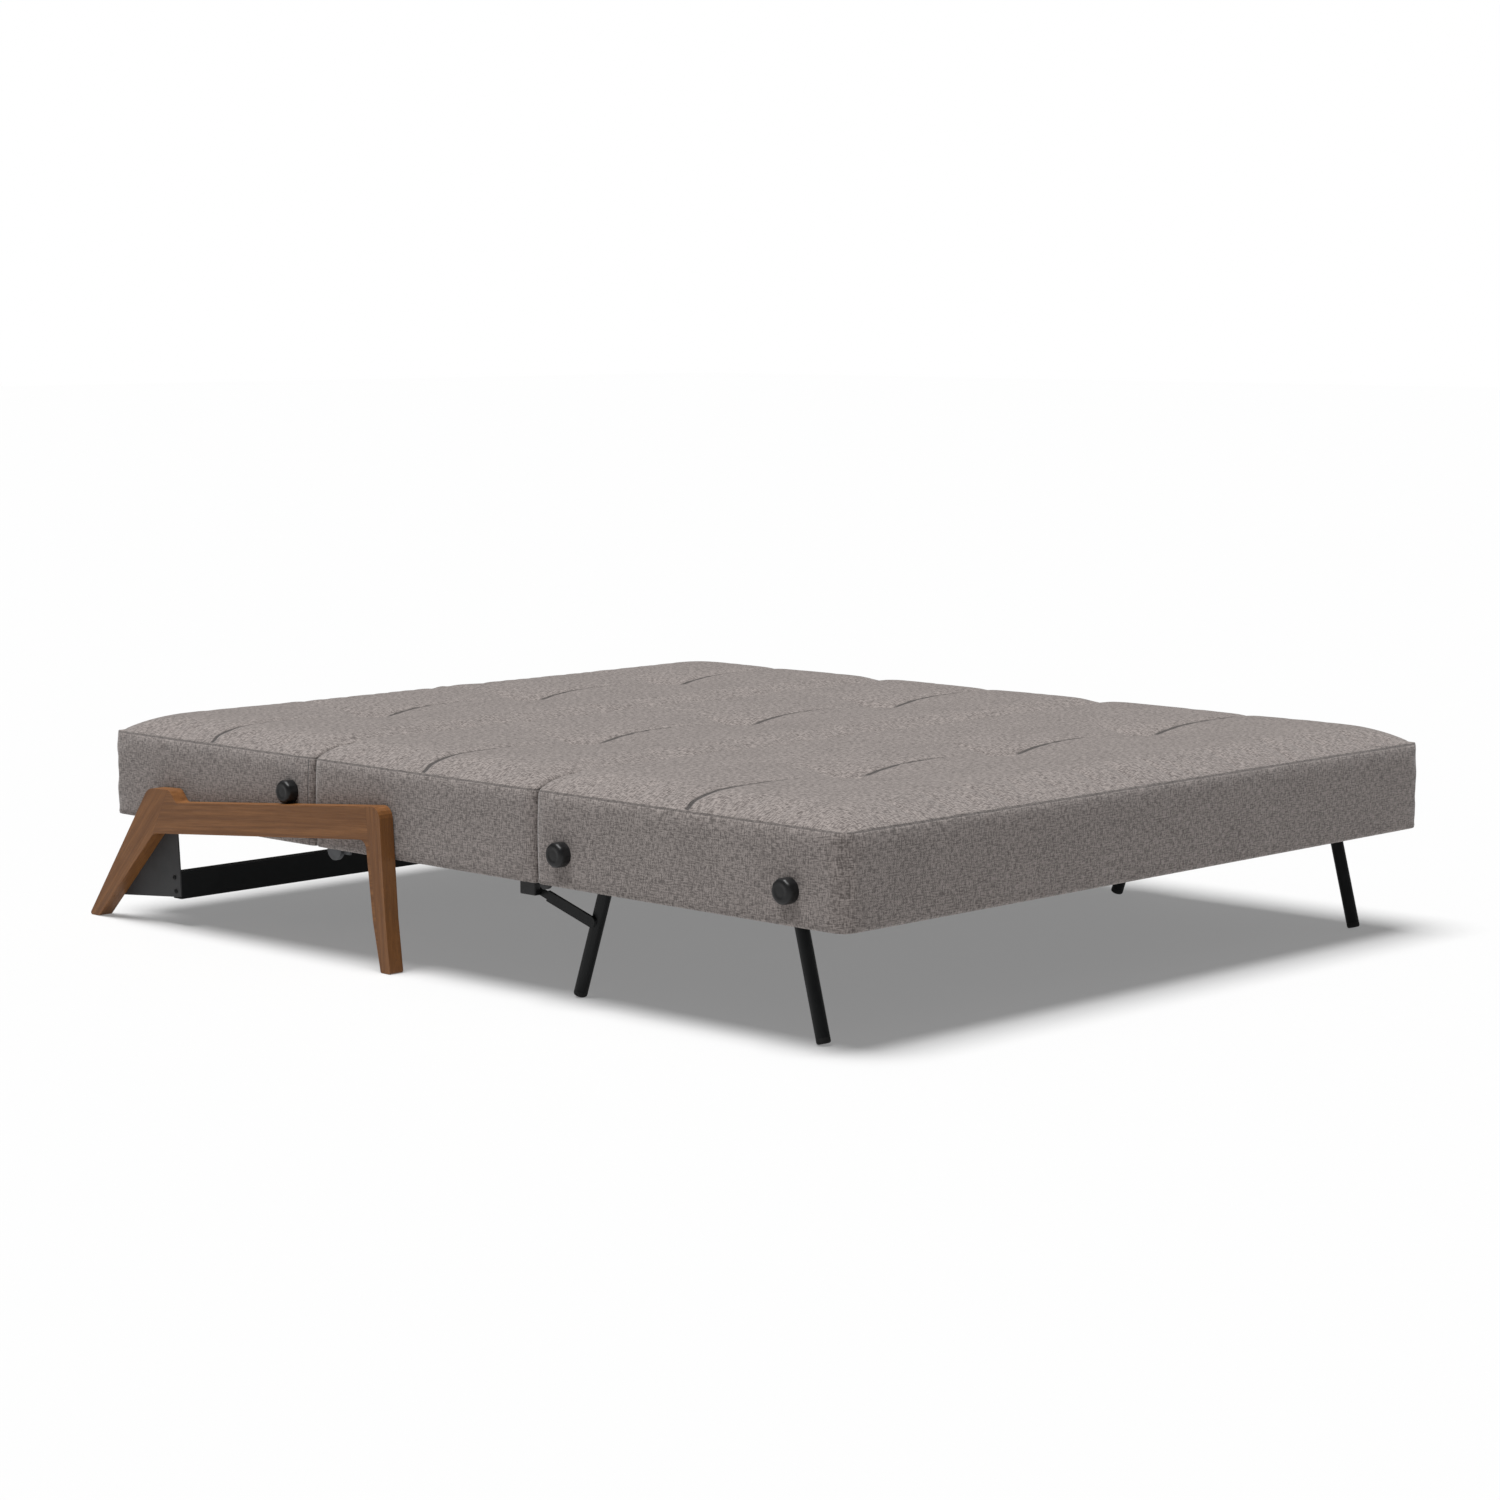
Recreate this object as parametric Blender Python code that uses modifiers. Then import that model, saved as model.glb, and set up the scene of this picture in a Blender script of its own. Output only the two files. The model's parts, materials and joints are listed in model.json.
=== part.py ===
"""Three-section futon sofa bed, laid flat as a bed, standing on the floor at z = 0.

Frame: +X to the right, +Y from the foot end to the head end, +Z up.  Stations along the bed are
written as "v", metres from the foot end; depths in from a side of the mattress are written as "u".
The origin is on the floor, midway between the sides and midway between the foot end and the tips
of the rear wooden feet.
"""

from math import atan2, cos, hypot, pi, radians, sin, sqrt, tan

import bmesh
import bpy
from mathutils import Matrix, Vector

# ---- mattress ---------------------------------------------------------------------------------
WIDTH = 1.665               # across the mattress
FOOT_LENGTH = 0.741         # section that folds under the seat
SEAT_LENGTH = 0.617         # middle section, the sofa's seat
BACK_LENGTH = 0.642         # head section, the sofa's back
UNDERSIDE = 0.205           # underside of the mattress above the floor
SIDE_HEIGHT = 0.168         # boxing, from the underside to the top seam
CROWN = 0.027               # rise of the top above the top seam
CROWN_INSET = 0.090         # width of the sloping border of the crown
END_CORNER = 0.030          # vertical corners at the foot and head of the bed
SEAM_CORNER = 0.008         # vertical corners where two sections meet
SKIRT = 0.018               # wall round the hollow underside that takes the steel frame
HOLLOW = 0.080              # depth of that hollow
SEAM_GAP = 0.0008           # between two sections
FIT = 0.0003                # between pieces that touch
RUNNING = 0.0010            # round a pin, or beside a piece that turns

# ---- steel frames inside the sections ---------------------------------------------------------
TUBE_RADIUS = 0.011         # cross tubes
TUBE_BORE = 0.0085
TUBE_HEIGHT = UNDERSIDE + 0.062     # axis of the cross tubes above the floor
RAIL_DEPTH = 0.020          # u of the side rails' outer face
RAIL_WIDTH = 0.015
RAIL_TALL = 0.024
RAIL_WALL = 0.0015
PANEL_THICK = 0.004         # support panel that the springs rest on
FOOT_TUBE_END = 0.122       # v of the foot section's two cross tubes
FOOT_TUBE_HINGE = FOOT_LENGTH - 0.072
SEAT_TUBE_REAR = FOOT_LENGTH + SEAT_LENGTH - 0.058
BACK_TUBE_HEAD = FOOT_LENGTH + SEAT_LENGTH + BACK_LENGTH - 0.070

# ---- joints -----------------------------------------------------------------------------------
FOOT_HINGE_DROP = 0.0005    # fold axis below the underside
RECLINE_V = FOOT_LENGTH + SEAT_LENGTH + 0.065   # axis of the back's pivot
RECLINE_Z = UNDERSIDE + 0.1005
RECLINE_LIMIT = 70.0        # degrees the back swings up
KNEE = (RECLINE_V - 0.051, UNDERSIDE + 0.033)   # bend of the pivot arm
GLIDE_RADIUS = 0.020        # round glide under the seam of the seat and the back
GLIDE_U = (0.040, 0.049)
GLIDE_BACK = 0.010          # its axis, before that seam and below the underside
GLIDE_DROP = 0.0085

# ---- knobs ------------------------------------------------------------------------------------
KNOB_RADIUS = 0.0225
KNOB_REACH = 0.024          # how far a knob stands out of the mattress side
KNOB_EDGE = 0.006
SPINDLE_RADIUS = 0.006
SPINDLE_END = 0.048         # u where a spindle ends

# ---- folding legs -----------------------------------------------------------------------------
LEG_RADIUS = 0.0125
LINK_DEPTH = 0.048          # u of the stay links' outer face
LINK_THICK = 0.005
LEG_DEPTH = LINK_DEPTH + LINK_THICK + 0.0015 + LEG_RADIUS   # u of the legs' axes
LEG_AXIS_DROP = 0.0125      # leg pivot above the underside
LEG_TOP = 0.010             # tube past the pivot
MID_LEG_V = FOOT_LENGTH - 0.1165    # pivots
FOOT_LEG_V = 0.164
MID_LEG_SLANT = 19.0        # degrees from vertical, towards the head
FOOT_LEG_SLANT = -14.9      # towards the foot end
LEG_WALL = 0.0015
CAP_TALL = 0.010            # rubber cap below the tube, with a plug that goes up into it
CAP_EDGE = 0.004
PLUG_TALL = 0.018
AXLE_RADIUS = 0.007
BRACKET_DEPTH = LEG_DEPTH + LEG_RADIUS + 0.0035     # u of the leg brackets' outer face
BRACKET_THICK = 0.005

# ---- stay links -------------------------------------------------------------------------------
LINK_V = FOOT_LENGTH + 0.050        # pivot of a stay link under the seat
LINK_DROP = 0.020           # below the underside
LINK_ON_LEG = 0.079         # from the leg's pivot down to the link's other end
LINK_HALF = 0.010
BLOCK_U = (0.033, 0.0470)
BLOCK_V = (FOOT_LENGTH + 0.037, FOOT_LENGTH + 0.077)
BLOCK_LOW = UNDERSIDE - 0.029

# ---- wooden side frames, gussets and beam -----------------------------------------------------
SIDE_GAP = 0.004            # from the mattress side to the wood
WOOD_THICK = 0.0315
WOOD_EDGE = 0.004           # rounding of the long edges
REAR_FOOT = FOOT_LENGTH + SEAT_LENGTH + BACK_LENGTH + 0.035     # v of the rear foot's square corner
REAR_SHOULDER = (REAR_FOOT - 0.2044, UNDERSIDE + 0.0705)    # top of the rear leg's back edge
FLOOR_EDGE = 0.004          # rounding of the feet on the floor
RAIL_SLOPE = -0.0884        # rise of the armless rail's top towards the head
RAIL_TOP_FRONT = (FOOT_LENGTH + SEAT_LENGTH - 0.2335, RECLINE_Z - KNOB_RADIUS + 0.0258)
FRONT_FOOT = FOOT_LENGTH + SEAT_LENGTH - 0.260  # v of the front foot's front corner
GUSSET_THICK = 0.003
BEAM_V = REAR_FOOT - 0.260  # front face of the rear beam
BEAM_LOW = 0.056
BEAM_DEEP = 0.025
BEAM_TALL = 0.054
BEAM_WALL = 0.002
SHELF_V = (BEAM_V + 0.017, BEAM_V + 0.087)
SHELF_WIDE = 0.045
SHELF_THICK = 0.009

HALF = WIDTH / 2
LENGTH = FOOT_LENGTH + SEAT_LENGTH + BACK_LENGTH
REAR_ANGLE = atan2(REAR_SHOULDER[1], REAR_FOOT - REAR_SHOULDER[0])
REAR_TIP = REAR_FOOT - FLOOR_EDGE * (1 / tan(REAR_ANGLE / 2) - 1)
MIDDLE_V = REAR_TIP / 2
TOP_SEAM = UNDERSIDE + SIDE_HEIGHT
HOLLOW_TOP = UNDERSIDE + HOLLOW
SEAM_FOOT = FOOT_LENGTH
SEAM_BACK = FOOT_LENGTH + SEAT_LENGTH
FOOT_HINGE = (SEAM_FOOT, UNDERSIDE - FOOT_HINGE_DROP)
SEAT_TUBE_FRONT = 2 * SEAM_FOOT - FOOT_TUBE_HINGE
LEG_Z = UNDERSIDE + LEG_AXIS_DROP
LINK_Z = UNDERSIDE - LINK_DROP
RAIL_LOW = TUBE_HEIGHT - RAIL_TALL / 2
GUSSET_OUT = SIDE_GAP - FIT
SWING = SEAM_BACK + SEAM_GAP / 2 - RECLINE_V
GLIDE_AXIS = (SEAM_BACK - GLIDE_BACK, UNDERSIDE - GLIDE_DROP)

FABRIC = ("woven_fabric", (0.33, 0.30, 0.285), 0.95, 0.0)
WALNUT = ("walnut", (0.19, 0.105, 0.06), 0.45, 0.0)
BLACK_STEEL = ("black_steel", (0.02, 0.02, 0.021), 0.5, 0.6)
GREY_STEEL = ("grey_steel", (0.045, 0.045, 0.047), 0.5, 0.6)
BLACK_PLASTIC = ("black_plastic", (0.015, 0.015, 0.016), 0.4, 0.0)
GREY_PLASTIC = ("grey_plastic", (0.10, 0.10, 0.10), 0.5, 0.0)
RUBBER = ("rubber", (0.02, 0.02, 0.02), 0.8, 0.0)
SIDES = (("left", -1), ("right", 1))


# ---- scene, materials and cutters -------------------------------------------------------------
def clear_scene():
    for old in list(bpy.data.objects):
        bpy.data.objects.remove(old, do_unlink=True)


def make_collection(name):
    made = bpy.data.collections.new(name)
    bpy.context.scene.collection.children.link(made)
    return made


def material(finish):
    name, colour, roughness, metallic = finish
    found = bpy.data.materials.get(name)
    if found is None:
        found = bpy.data.materials.new(name)
        found.use_nodes = True
        shader = found.node_tree.nodes["Principled BSDF"]
        shader.inputs["Base Color"].default_value = (*colour, 1.0)
        shader.inputs["Roughness"].default_value = roughness
        shader.inputs["Metallic"].default_value = metallic
    return found


def add_object(name, data, finish=None):
    """A named piece with its material, or a hidden cutter where there is no finish."""
    made = bpy.data.objects.new(name, data)
    if finish is None:
        CUTTERS.objects.link(made)
        made.hide_render = True
        made.display_type = "WIRE"
    else:
        data.materials.append(material(finish))
        PARTS.objects.link(made)
    return made


def mesh_object(name, shape, finish=None):
    data = bpy.data.meshes.new(name)
    shape.to_mesh(data)
    shape.free()
    data.shade_smooth()
    data.set_sharp_from_angle(angle=radians(35))
    return add_object(name, data, finish)


def cut(piece, cutter, solver="EXACT"):
    boolean = piece.modifiers.new(cutter.name, "BOOLEAN")
    boolean.operation = "DIFFERENCE"
    boolean.solver = solver
    boolean.object = cutter


def join(piece, other):
    boolean = piece.modifiers.new(other.name, "BOOLEAN")
    boolean.operation = "UNION"
    boolean.object = other


# ---- basic shapes; v and z are stations, x is across the bed ------------------------------------
def at(x, v, z):
    return Vector((x, v - MIDDLE_V, z))


def box(name, x_span, v_span, z_span, finish=None, bevel=0.0):
    shape = bmesh.new()
    bmesh.ops.create_cube(shape, size=1.0)
    spans = (x_span, v_span, z_span)
    for vert in shape.verts:
        place = [sum(s) / 2 + c * (s[1] - s[0]) for s, c in zip(spans, vert.co)]
        vert.co = at(*place)
    bmesh.ops.recalc_face_normals(shape, faces=shape.faces)
    made = mesh_object(name, shape, finish)
    if bevel:
        rounded = made.modifiers.new("rounded", "BEVEL")
        rounded.width = bevel
        rounded.segments = 2
    return made


def rod(name, start, end, radius, finish=None, sides=24):
    """A round bar from one point to another."""
    start, end = at(*start), at(*end)
    shape = bmesh.new()
    bmesh.ops.create_cone(shape, cap_ends=True, segments=sides, radius1=radius, radius2=radius,
                          depth=(end - start).length)
    turn = Vector((0, 0, 1)).rotation_difference(end - start).to_matrix().to_4x4()
    bmesh.ops.transform(shape, matrix=Matrix.Translation((start + end) / 2) @ turn, verts=shape.verts)
    return mesh_object(name, shape, finish)


def round_tube(name, start, end, radius, wall, finish):
    """A hollow round tube from one point to another."""
    start, end = at(*start), at(*end)
    shape = bmesh.new()
    bmesh.ops.create_cone(shape, cap_ends=False, segments=24, radius1=radius, radius2=radius,
                          depth=(end - start).length)
    turn = Vector((0, 0, 1)).rotation_difference(end - start).to_matrix().to_4x4()
    bmesh.ops.transform(shape, matrix=Matrix.Translation((start + end) / 2) @ turn, verts=shape.verts)
    bmesh.ops.recalc_face_normals(shape, faces=shape.faces)
    made = mesh_object(name, shape, finish)
    solid = made.modifiers.new("wall", "SOLIDIFY")
    solid.thickness = wall
    solid.offset = -1
    return made


def cross_tube(name, v, z, u_end, finish):
    """A hollow round tube across the bed, stopping u_end short of each side of the mattress."""
    reach = HALF - u_end
    return round_tube(name, (-reach, v, z), (reach, v, z), TUBE_RADIUS, TUBE_RADIUS - TUBE_BORE, finish)


def box_tube(name, x_span, v_span, z_span, wall, axis, finish):
    """A rectangular tube, open at both ends along the axis (0 for x, 1 for v)."""
    shape = bmesh.new()
    bmesh.ops.create_cube(shape, size=1.0)
    ends = [face for face in shape.faces if abs(face.normal[axis]) > 0.5]
    bmesh.ops.delete(shape, geom=ends, context="FACES_ONLY")
    spans = (x_span, v_span, z_span)
    for vert in shape.verts:
        vert.co = at(*[sum(s) / 2 + c * (s[1] - s[0]) for s, c in zip(spans, vert.co)])
    made = mesh_object(name, shape, finish)
    solid = made.modifiers.new("wall", "SOLIDIFY")
    solid.thickness = wall
    solid.offset = -1
    solid.use_even_offset = True
    return made


def turned(name, profile, finish, steps=24):
    """A solid of revolution about local Z, from (radius, height) points running downwards."""
    shape = bmesh.new()
    verts = [shape.verts.new((radius, 0, height)) for radius, height in profile]
    for first, second in zip(verts, verts[1:]):
        shape.edges.new((first, second))
    made = mesh_object(name, shape, finish)
    screw = made.modifiers.new("turned", "SCREW")
    screw.steps = steps
    screw.render_steps = steps
    screw.use_merge_vertices = True
    screw.merge_threshold = 0.00001
    screw.use_smooth_shade = True
    return made


# ---- flat outlines ------------------------------------------------------------------------------
def arc(centre, radius, start, end, count):
    """Points on an arc; the angles are in degrees, anticlockwise from the head direction."""
    angles = [radians(start + (end - start) * i / count) for i in range(count + 1)]
    return [(centre[0] + radius * cos(a), centre[1] + radius * sin(a)) for a in angles]


def filleted(corners, count=5):
    """The outline through (v, z, fillet radius) corners, each turned into an arc of count steps."""
    points = []
    for i, (v, z, radius) in enumerate(corners):
        here = Vector((v, z))
        before = (Vector(corners[i - 1][:2]) - here).normalized()
        after = (Vector(corners[(i + 1) % len(corners)][:2]) - here).normalized()
        half_angle = before.angle(after) / 2
        if radius == 0:
            points.append((v, z))
            continue
        back = radius / tan(half_angle)
        first, last = here + before * back, here + after * back
        centre = here + (before + after).normalized() * (radius / sin(half_angle))
        start, end = first - centre, last - centre
        sweep = atan2(start.x * end.y - start.y * end.x, start.dot(end))
        for step in range(count + 1):
            turned_by = start.copy()
            turned_by.rotate(Matrix.Rotation(sweep * step / count, 2))
            points.append(tuple(centre + turned_by))
    return points


def strip(path, half_width, round_start=True):
    """A flat bar along a bent path, with a round first end and a square last end."""
    path = [Vector(p) for p in path]
    left, right = [], []
    for i, point in enumerate(path):
        along = [(path[j + 1] - path[j]).normalized() for j in (i - 1, i) if 0 <= j < len(path) - 1]
        mean = sum(along, Vector((0, 0))).normalized()
        side = Vector((-mean.y, mean.x)) * (half_width / mean.dot(along[0]))
        left.append(tuple(point + side))
        right.append(tuple(point - side))
    if round_start:
        ahead = path[1] - path[0]
        heading = atan2(ahead.y, ahead.x) * 180 / pi
        nose = arc(path[0], half_width, heading + 90, heading + 270, 10)
        return nose + right[1:] + left[:0:-1]
    return right[:1] + right[1:] + left[::-1]


def hub_strip(path, half_width, hub_radius):
    """A flat bar whose first end is a round hub that is wider than the bar."""
    start, ahead = Vector(path[0]), Vector(path[1]) - Vector(path[0])
    heading = atan2(ahead.y, ahead.x) * 180 / pi
    reach = sqrt(hub_radius ** 2 - half_width ** 2)
    opening = atan2(half_width, reach) * 180 / pi
    body = strip([tuple(start + ahead.normalized() * reach)] + list(path[1:]), half_width, False)
    return arc(start, hub_radius, heading + opening, heading + 360 - opening, 14) + body[1:-1]


def plate(name, outline, x_span, finish=None, holes=(), edge=0.0):
    """A flat plate standing lengthwise, from a (v, z) outline; holes are ((v, z), radius)."""
    curve = bpy.data.curves.new(name, "CURVE")
    curve.dimensions = "2D"
    curve.fill_mode = "BOTH"
    curve.extrude = (x_span[1] - x_span[0]) / 2
    rings = [outline] + [arc(centre, radius, 0, 360 - 360 / 16, 15) for centre, radius in holes]
    for ring in rings:
        spline = curve.splines.new("POLY")
        spline.points.add(len(ring) - 1)
        for point, (v, z) in zip(spline.points, ring):
            point.co = (v - MIDDLE_V, z, 0, 1)
        spline.use_cyclic_u = True
    made = add_object(name, curve, finish)
    made.rotation_euler = (pi / 2, 0, pi / 2)
    made.location.x = sum(x_span) / 2
    if edge:
        weld = made.modifiers.new("weld", "WELD")
        weld.merge_threshold = 0.00001
        rounded = made.modifiers.new("rounded", "BEVEL")
        rounded.width = edge
        rounded.segments = 2
        rounded.limit_method = "ANGLE"
        rounded.angle_limit = radians(60)
    return made


def as_mesh(piece):
    """The same piece as a mesh object, so that it can be cut or can cut."""
    bpy.context.view_layer.update()
    graph = bpy.context.evaluated_depsgraph_get()
    data = bpy.data.meshes.new_from_object(piece.evaluated_get(graph))
    shape = bmesh.new()
    shape.from_mesh(data)
    bmesh.ops.remove_doubles(shape, verts=shape.verts, dist=0.00001)
    bmesh.ops.recalc_face_normals(shape, faces=shape.faces)
    shape.to_mesh(data)
    shape.free()
    name, owner = piece.name, piece.users_collection[0]
    place, hidden = piece.matrix_world.copy(), piece.hide_render
    bpy.data.objects.remove(piece, do_unlink=True)
    made = bpy.data.objects.new(name, data)
    made.matrix_world = place
    made.hide_render = hidden
    made.display_type = "WIRE" if hidden else "TEXTURED"
    owner.objects.link(made)
    return made


def side_span(side, u_from, u_to):
    """The x span of a stretch given by its depth in from one side of the mattress."""
    ends = (side * (HALF - u_from), side * (HALF - u_to))
    return min(ends), max(ends)


def towards(start, target, stop_short):
    """The point on the way to a target that stops short of it."""
    start, target = Vector(start), Vector(target)
    return tuple(target - (target - start).normalized() * stop_short)


# ---- mattress sections --------------------------------------------------------------------------
def mattress_section(name, v_span, corner_low, corner_high):
    """A crowned block with a hollow underside; the corners differ at its two ends."""
    shape = bmesh.new()
    bmesh.ops.create_cube(shape, size=1.0)
    spans = ((-HALF, HALF), v_span, (UNDERSIDE, TOP_SEAM))
    for vert in shape.verts:
        vert.co = at(*[sum(s) / 2 + c * (s[1] - s[0]) for s, c in zip(spans, vert.co)])
    top = max(shape.faces, key=lambda face: face.calc_center_median().z)
    bmesh.ops.inset_region(shape, faces=[top], thickness=CROWN_INSET, depth=0.0)
    for vert in top.verts:
        vert.co.z += CROWN
    middle = sum(v_span) / 2 - MIDDLE_V
    for radius, upper in ((corner_low, False), (corner_high, True)):
        edges = [
            edge for edge in shape.edges
            if abs(edge.verts[0].co.z - edge.verts[1].co.z) > 0.5 * SIDE_HEIGHT
            and (edge.verts[0].co.y > middle) == upper
        ]
        bmesh.ops.bevel(shape, geom=edges, offset=radius, segments=4, profile=0.5, affect="EDGES")
    bmesh.ops.recalc_face_normals(shape, faces=shape.faces)
    section = mesh_object(name, shape, FABRIC)
    inside = HALF - SKIRT
    hollow = box(name + "_hollow", (-inside, inside), (v_span[0] + SKIRT, v_span[1] - SKIRT),
                 (UNDERSIDE - 0.02, HOLLOW_TOP))
    cut(section, hollow)
    return section


def spindle_holes(section, v, z, radius):
    for label, side in SIDES:
        x_out, x_in = side * (HALF + 0.02), side * (HALF - SKIRT - 0.01)
        cut(section, rod(f"{section.name}_hole_{label}_{v:.3f}", (x_out, v, z), (x_in, v, z), radius))


def hinge_notches(section, v_span):
    for label, side in SIDES:
        span = side_span(side, RAIL_DEPTH - 0.0015, RAIL_DEPTH + RAIL_WIDTH - 0.0015)
        notch = box(f"{section.name}_notch_{label}_{v_span[0]:.3f}", span, v_span,
                    (UNDERSIDE - 0.01, TUBE_HEIGHT))
        cut(section, notch)


def make_mattress():
    foot = mattress_section("foot_cushion", (0.0, SEAM_FOOT - SEAM_GAP / 2), END_CORNER, SEAM_CORNER)
    spindle_holes(foot, FOOT_TUBE_END, TUBE_HEIGHT, SPINDLE_RADIUS + FIT)
    spindle_holes(foot, FOOT_TUBE_HINGE, TUBE_HEIGHT, SPINDLE_RADIUS + FIT)
    hinge_notches(foot, (SEAM_FOOT - SKIRT - 0.002, SEAM_FOOT + 0.01))

    seat = mattress_section("seat_cushion", (SEAM_FOOT + SEAM_GAP / 2, SEAM_BACK - SEAM_GAP / 2),
                            SEAM_CORNER, SEAM_CORNER)
    hinge_notches(seat, (SEAM_FOOT - 0.01, SEAM_FOOT + SKIRT + 0.002))
    hinge_notches(seat, (SEAM_BACK - SKIRT - 0.002, SEAM_BACK + 0.01))
    for label, side in SIDES:
        low, high = side_span(side, GLIDE_U[0] - RUNNING, GLIDE_U[1] + RUNNING)
        cut(seat, rod(f"seat_glide_room_{label}", (low, *GLIDE_AXIS), (high, *GLIDE_AXIS),
                      GLIDE_RADIUS + RUNNING))

    back = mattress_section("back_cushion", (SEAM_BACK + SEAM_GAP / 2, LENGTH), SEAM_CORNER, END_CORNER)
    spindle_holes(back, RECLINE_V, RECLINE_Z, SPINDLE_RADIUS + RUNNING)
    make_swing_room(back)
    return foot, seat, back


def make_swing_room(back):
    """Takes off what would meet the seat as the back swings up, and makes room for its pivot."""
    axis = (RECLINE_V, RECLINE_Z)
    ahead = SEAM_BACK - 0.05
    above = TOP_SEAM + 2 * CROWN
    lean = radians(RECLINE_LIMIT)
    far = RECLINE_V + 0.25
    swung = RECLINE_Z + (-SWING + (far - RECLINE_V) * cos(lean)) / sin(lean)
    upper = arc(axis, -SWING, 180, 180 - RECLINE_LIMIT, 8)
    upper += [(far, swung), (far, max(above, swung + 0.01)), (ahead, above), (ahead, RECLINE_Z)]
    rounding = arc((SEAM_BACK + END_CORNER, UNDERSIDE + END_CORNER), END_CORNER, 180, 270, 6)
    lower = rounding + [(SEAM_BACK + END_CORNER, UNDERSIDE - 0.02), (ahead, UNDERSIDE - 0.02),
                        (ahead, UNDERSIDE + END_CORNER)]
    across = (-HALF - 0.01, HALF + 0.01)
    cut(back, as_mesh(plate("back_swing_upper", upper, across)), "MANIFOLD")
    cut(back, as_mesh(plate("back_swing_lower", lower, across)))
    inside = HALF - SKIRT - 0.0005
    channel = TUBE_RADIUS + RUNNING
    cut(back, box("back_tube_channel", (-inside, inside), (RECLINE_V - channel, RECLINE_V + channel),
                  (HOLLOW_TOP - 0.01, RECLINE_Z + channel)))
    for label, side in SIDES:
        span = side_span(side, RAIL_DEPTH - 0.001, RAIL_DEPTH + 0.0115)
        cut(back, box(f"back_arm_slot_{label}", span, (SEAM_BACK - 0.02, RECLINE_V + 0.022),
                      (UNDERSIDE - 0.015, RECLINE_Z + 0.040)))


# ---- steel frames -------------------------------------------------------------------------------
def side_rails(prefix, v_span):
    for label, side in SIDES:
        box_tube(f"{prefix}_rail_{label}", side_span(side, RAIL_DEPTH, RAIL_DEPTH + RAIL_WIDTH),
                 v_span, (RAIL_LOW, RAIL_LOW + RAIL_TALL), RAIL_WALL, 1, BLACK_STEEL)


def support_panel(prefix, v_span):
    """The sheet on top of the frame that the springs rest on."""
    reach = HALF - RAIL_DEPTH - FIT
    low = TUBE_HEIGHT + max(RAIL_TALL / 2, TUBE_RADIUS) + FIT
    box(f"{prefix}_support_panel", (-reach, reach), v_span, (low, low + PANEL_THICK), GREY_STEEL)


def make_foot_frame():
    for label, v in (("end", FOOT_TUBE_END), ("hinge", FOOT_TUBE_HINGE)):
        cross_tube(f"foot_{label}_tube", v, TUBE_HEIGHT, SKIRT + 0.0015, BLACK_STEEL)
    clear = TUBE_RADIUS + FIT
    side_rails("foot", (FOOT_TUBE_END + clear, FOOT_TUBE_HINGE - clear))
    support_panel("foot", (FOOT_TUBE_END - 0.05, FOOT_TUBE_HINGE + 0.03))
    tube = (FOOT_TUBE_HINGE, TUBE_HEIGHT)
    hinge_leaves("foot_hinge_leaf", tube, RAIL_DEPTH + 0.0005)


def make_seat_frame():
    for label, v in (("front", SEAT_TUBE_FRONT), ("rear", SEAT_TUBE_REAR)):
        cross_tube(f"seat_{label}_tube", v, TUBE_HEIGHT, SKIRT + 0.0015, BLACK_STEEL)
    clear = TUBE_RADIUS + FIT
    side_rails("seat", (SEAT_TUBE_FRONT + clear, SEAT_TUBE_REAR - clear))
    support_panel("seat", (SEAT_TUBE_FRONT - 0.03, SEAT_TUBE_REAR + 0.02))
    tube = (SEAT_TUBE_FRONT, TUBE_HEIGHT)
    hinge_leaves("seat_hinge_leaf", tube, RAIL_DEPTH + 0.0065)
    make_hinge_pins()
    make_pivot_arms()
    make_glide_discs()
    make_hinge_blocks()


def hinge_leaves(prefix, tube, depth):
    """The strips that carry the fold hinge, from its pin to the nearest cross tube."""
    outline = strip([FOOT_HINGE, towards(FOOT_HINGE, tube, TUBE_RADIUS + FIT)], 0.011)
    for label, side in SIDES:
        plate(f"{prefix}_{label}", outline, side_span(side, depth, depth + 0.005), GREY_STEEL,
              holes=[(FOOT_HINGE, 0.004 + FIT)])


def make_hinge_pins():
    for label, side in SIDES:
        low, high = side_span(side, SKIRT + 0.001, RAIL_DEPTH + 0.0130)
        rod(f"fold_hinge_pin_{label}", (low, *FOOT_HINGE), (high, *FOOT_HINGE), 0.004, GREY_STEEL, 16)


def make_pivot_arms():
    """Bent arms from the seat's rear tube to the back's pivot."""
    axis = (RECLINE_V, RECLINE_Z)
    last = towards(KNEE, (SEAT_TUBE_REAR, TUBE_HEIGHT), TUBE_RADIUS + FIT)
    outline = hub_strip([axis, KNEE, last], 0.009, 0.016)
    for label, side in SIDES:
        plate(f"pivot_arm_{label}", outline, side_span(side, RAIL_DEPTH + 0.0005, RAIL_DEPTH + 0.0085),
              GREY_STEEL, holes=[(axis, SPINDLE_RADIUS + FIT)])


def make_glide_discs():
    """A round glide on a bent bracket, low beside the seam of the seat and the back."""
    tube = (SEAT_TUBE_REAR, TUBE_HEIGHT)
    corner = (SEAT_TUBE_REAR + 0.018, GLIDE_AXIS[1])
    bracket = strip([GLIDE_AXIS, corner, towards(corner, tube, TUBE_RADIUS + FIT)], 0.0075)
    for label, side in SIDES:
        span = side_span(side, GLIDE_U[1] - RUNNING, GLIDE_U[1] + 0.004)
        glide = as_mesh(plate(f"seat_glide_{label}", bracket, span, GREY_PLASTIC))
        low, high = side_span(side, *GLIDE_U)
        disc = rod(f"seat_glide_disc_{label}", (low, *GLIDE_AXIS), (high, *GLIDE_AXIS), GLIDE_RADIUS)
        join(glide, disc)


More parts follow.
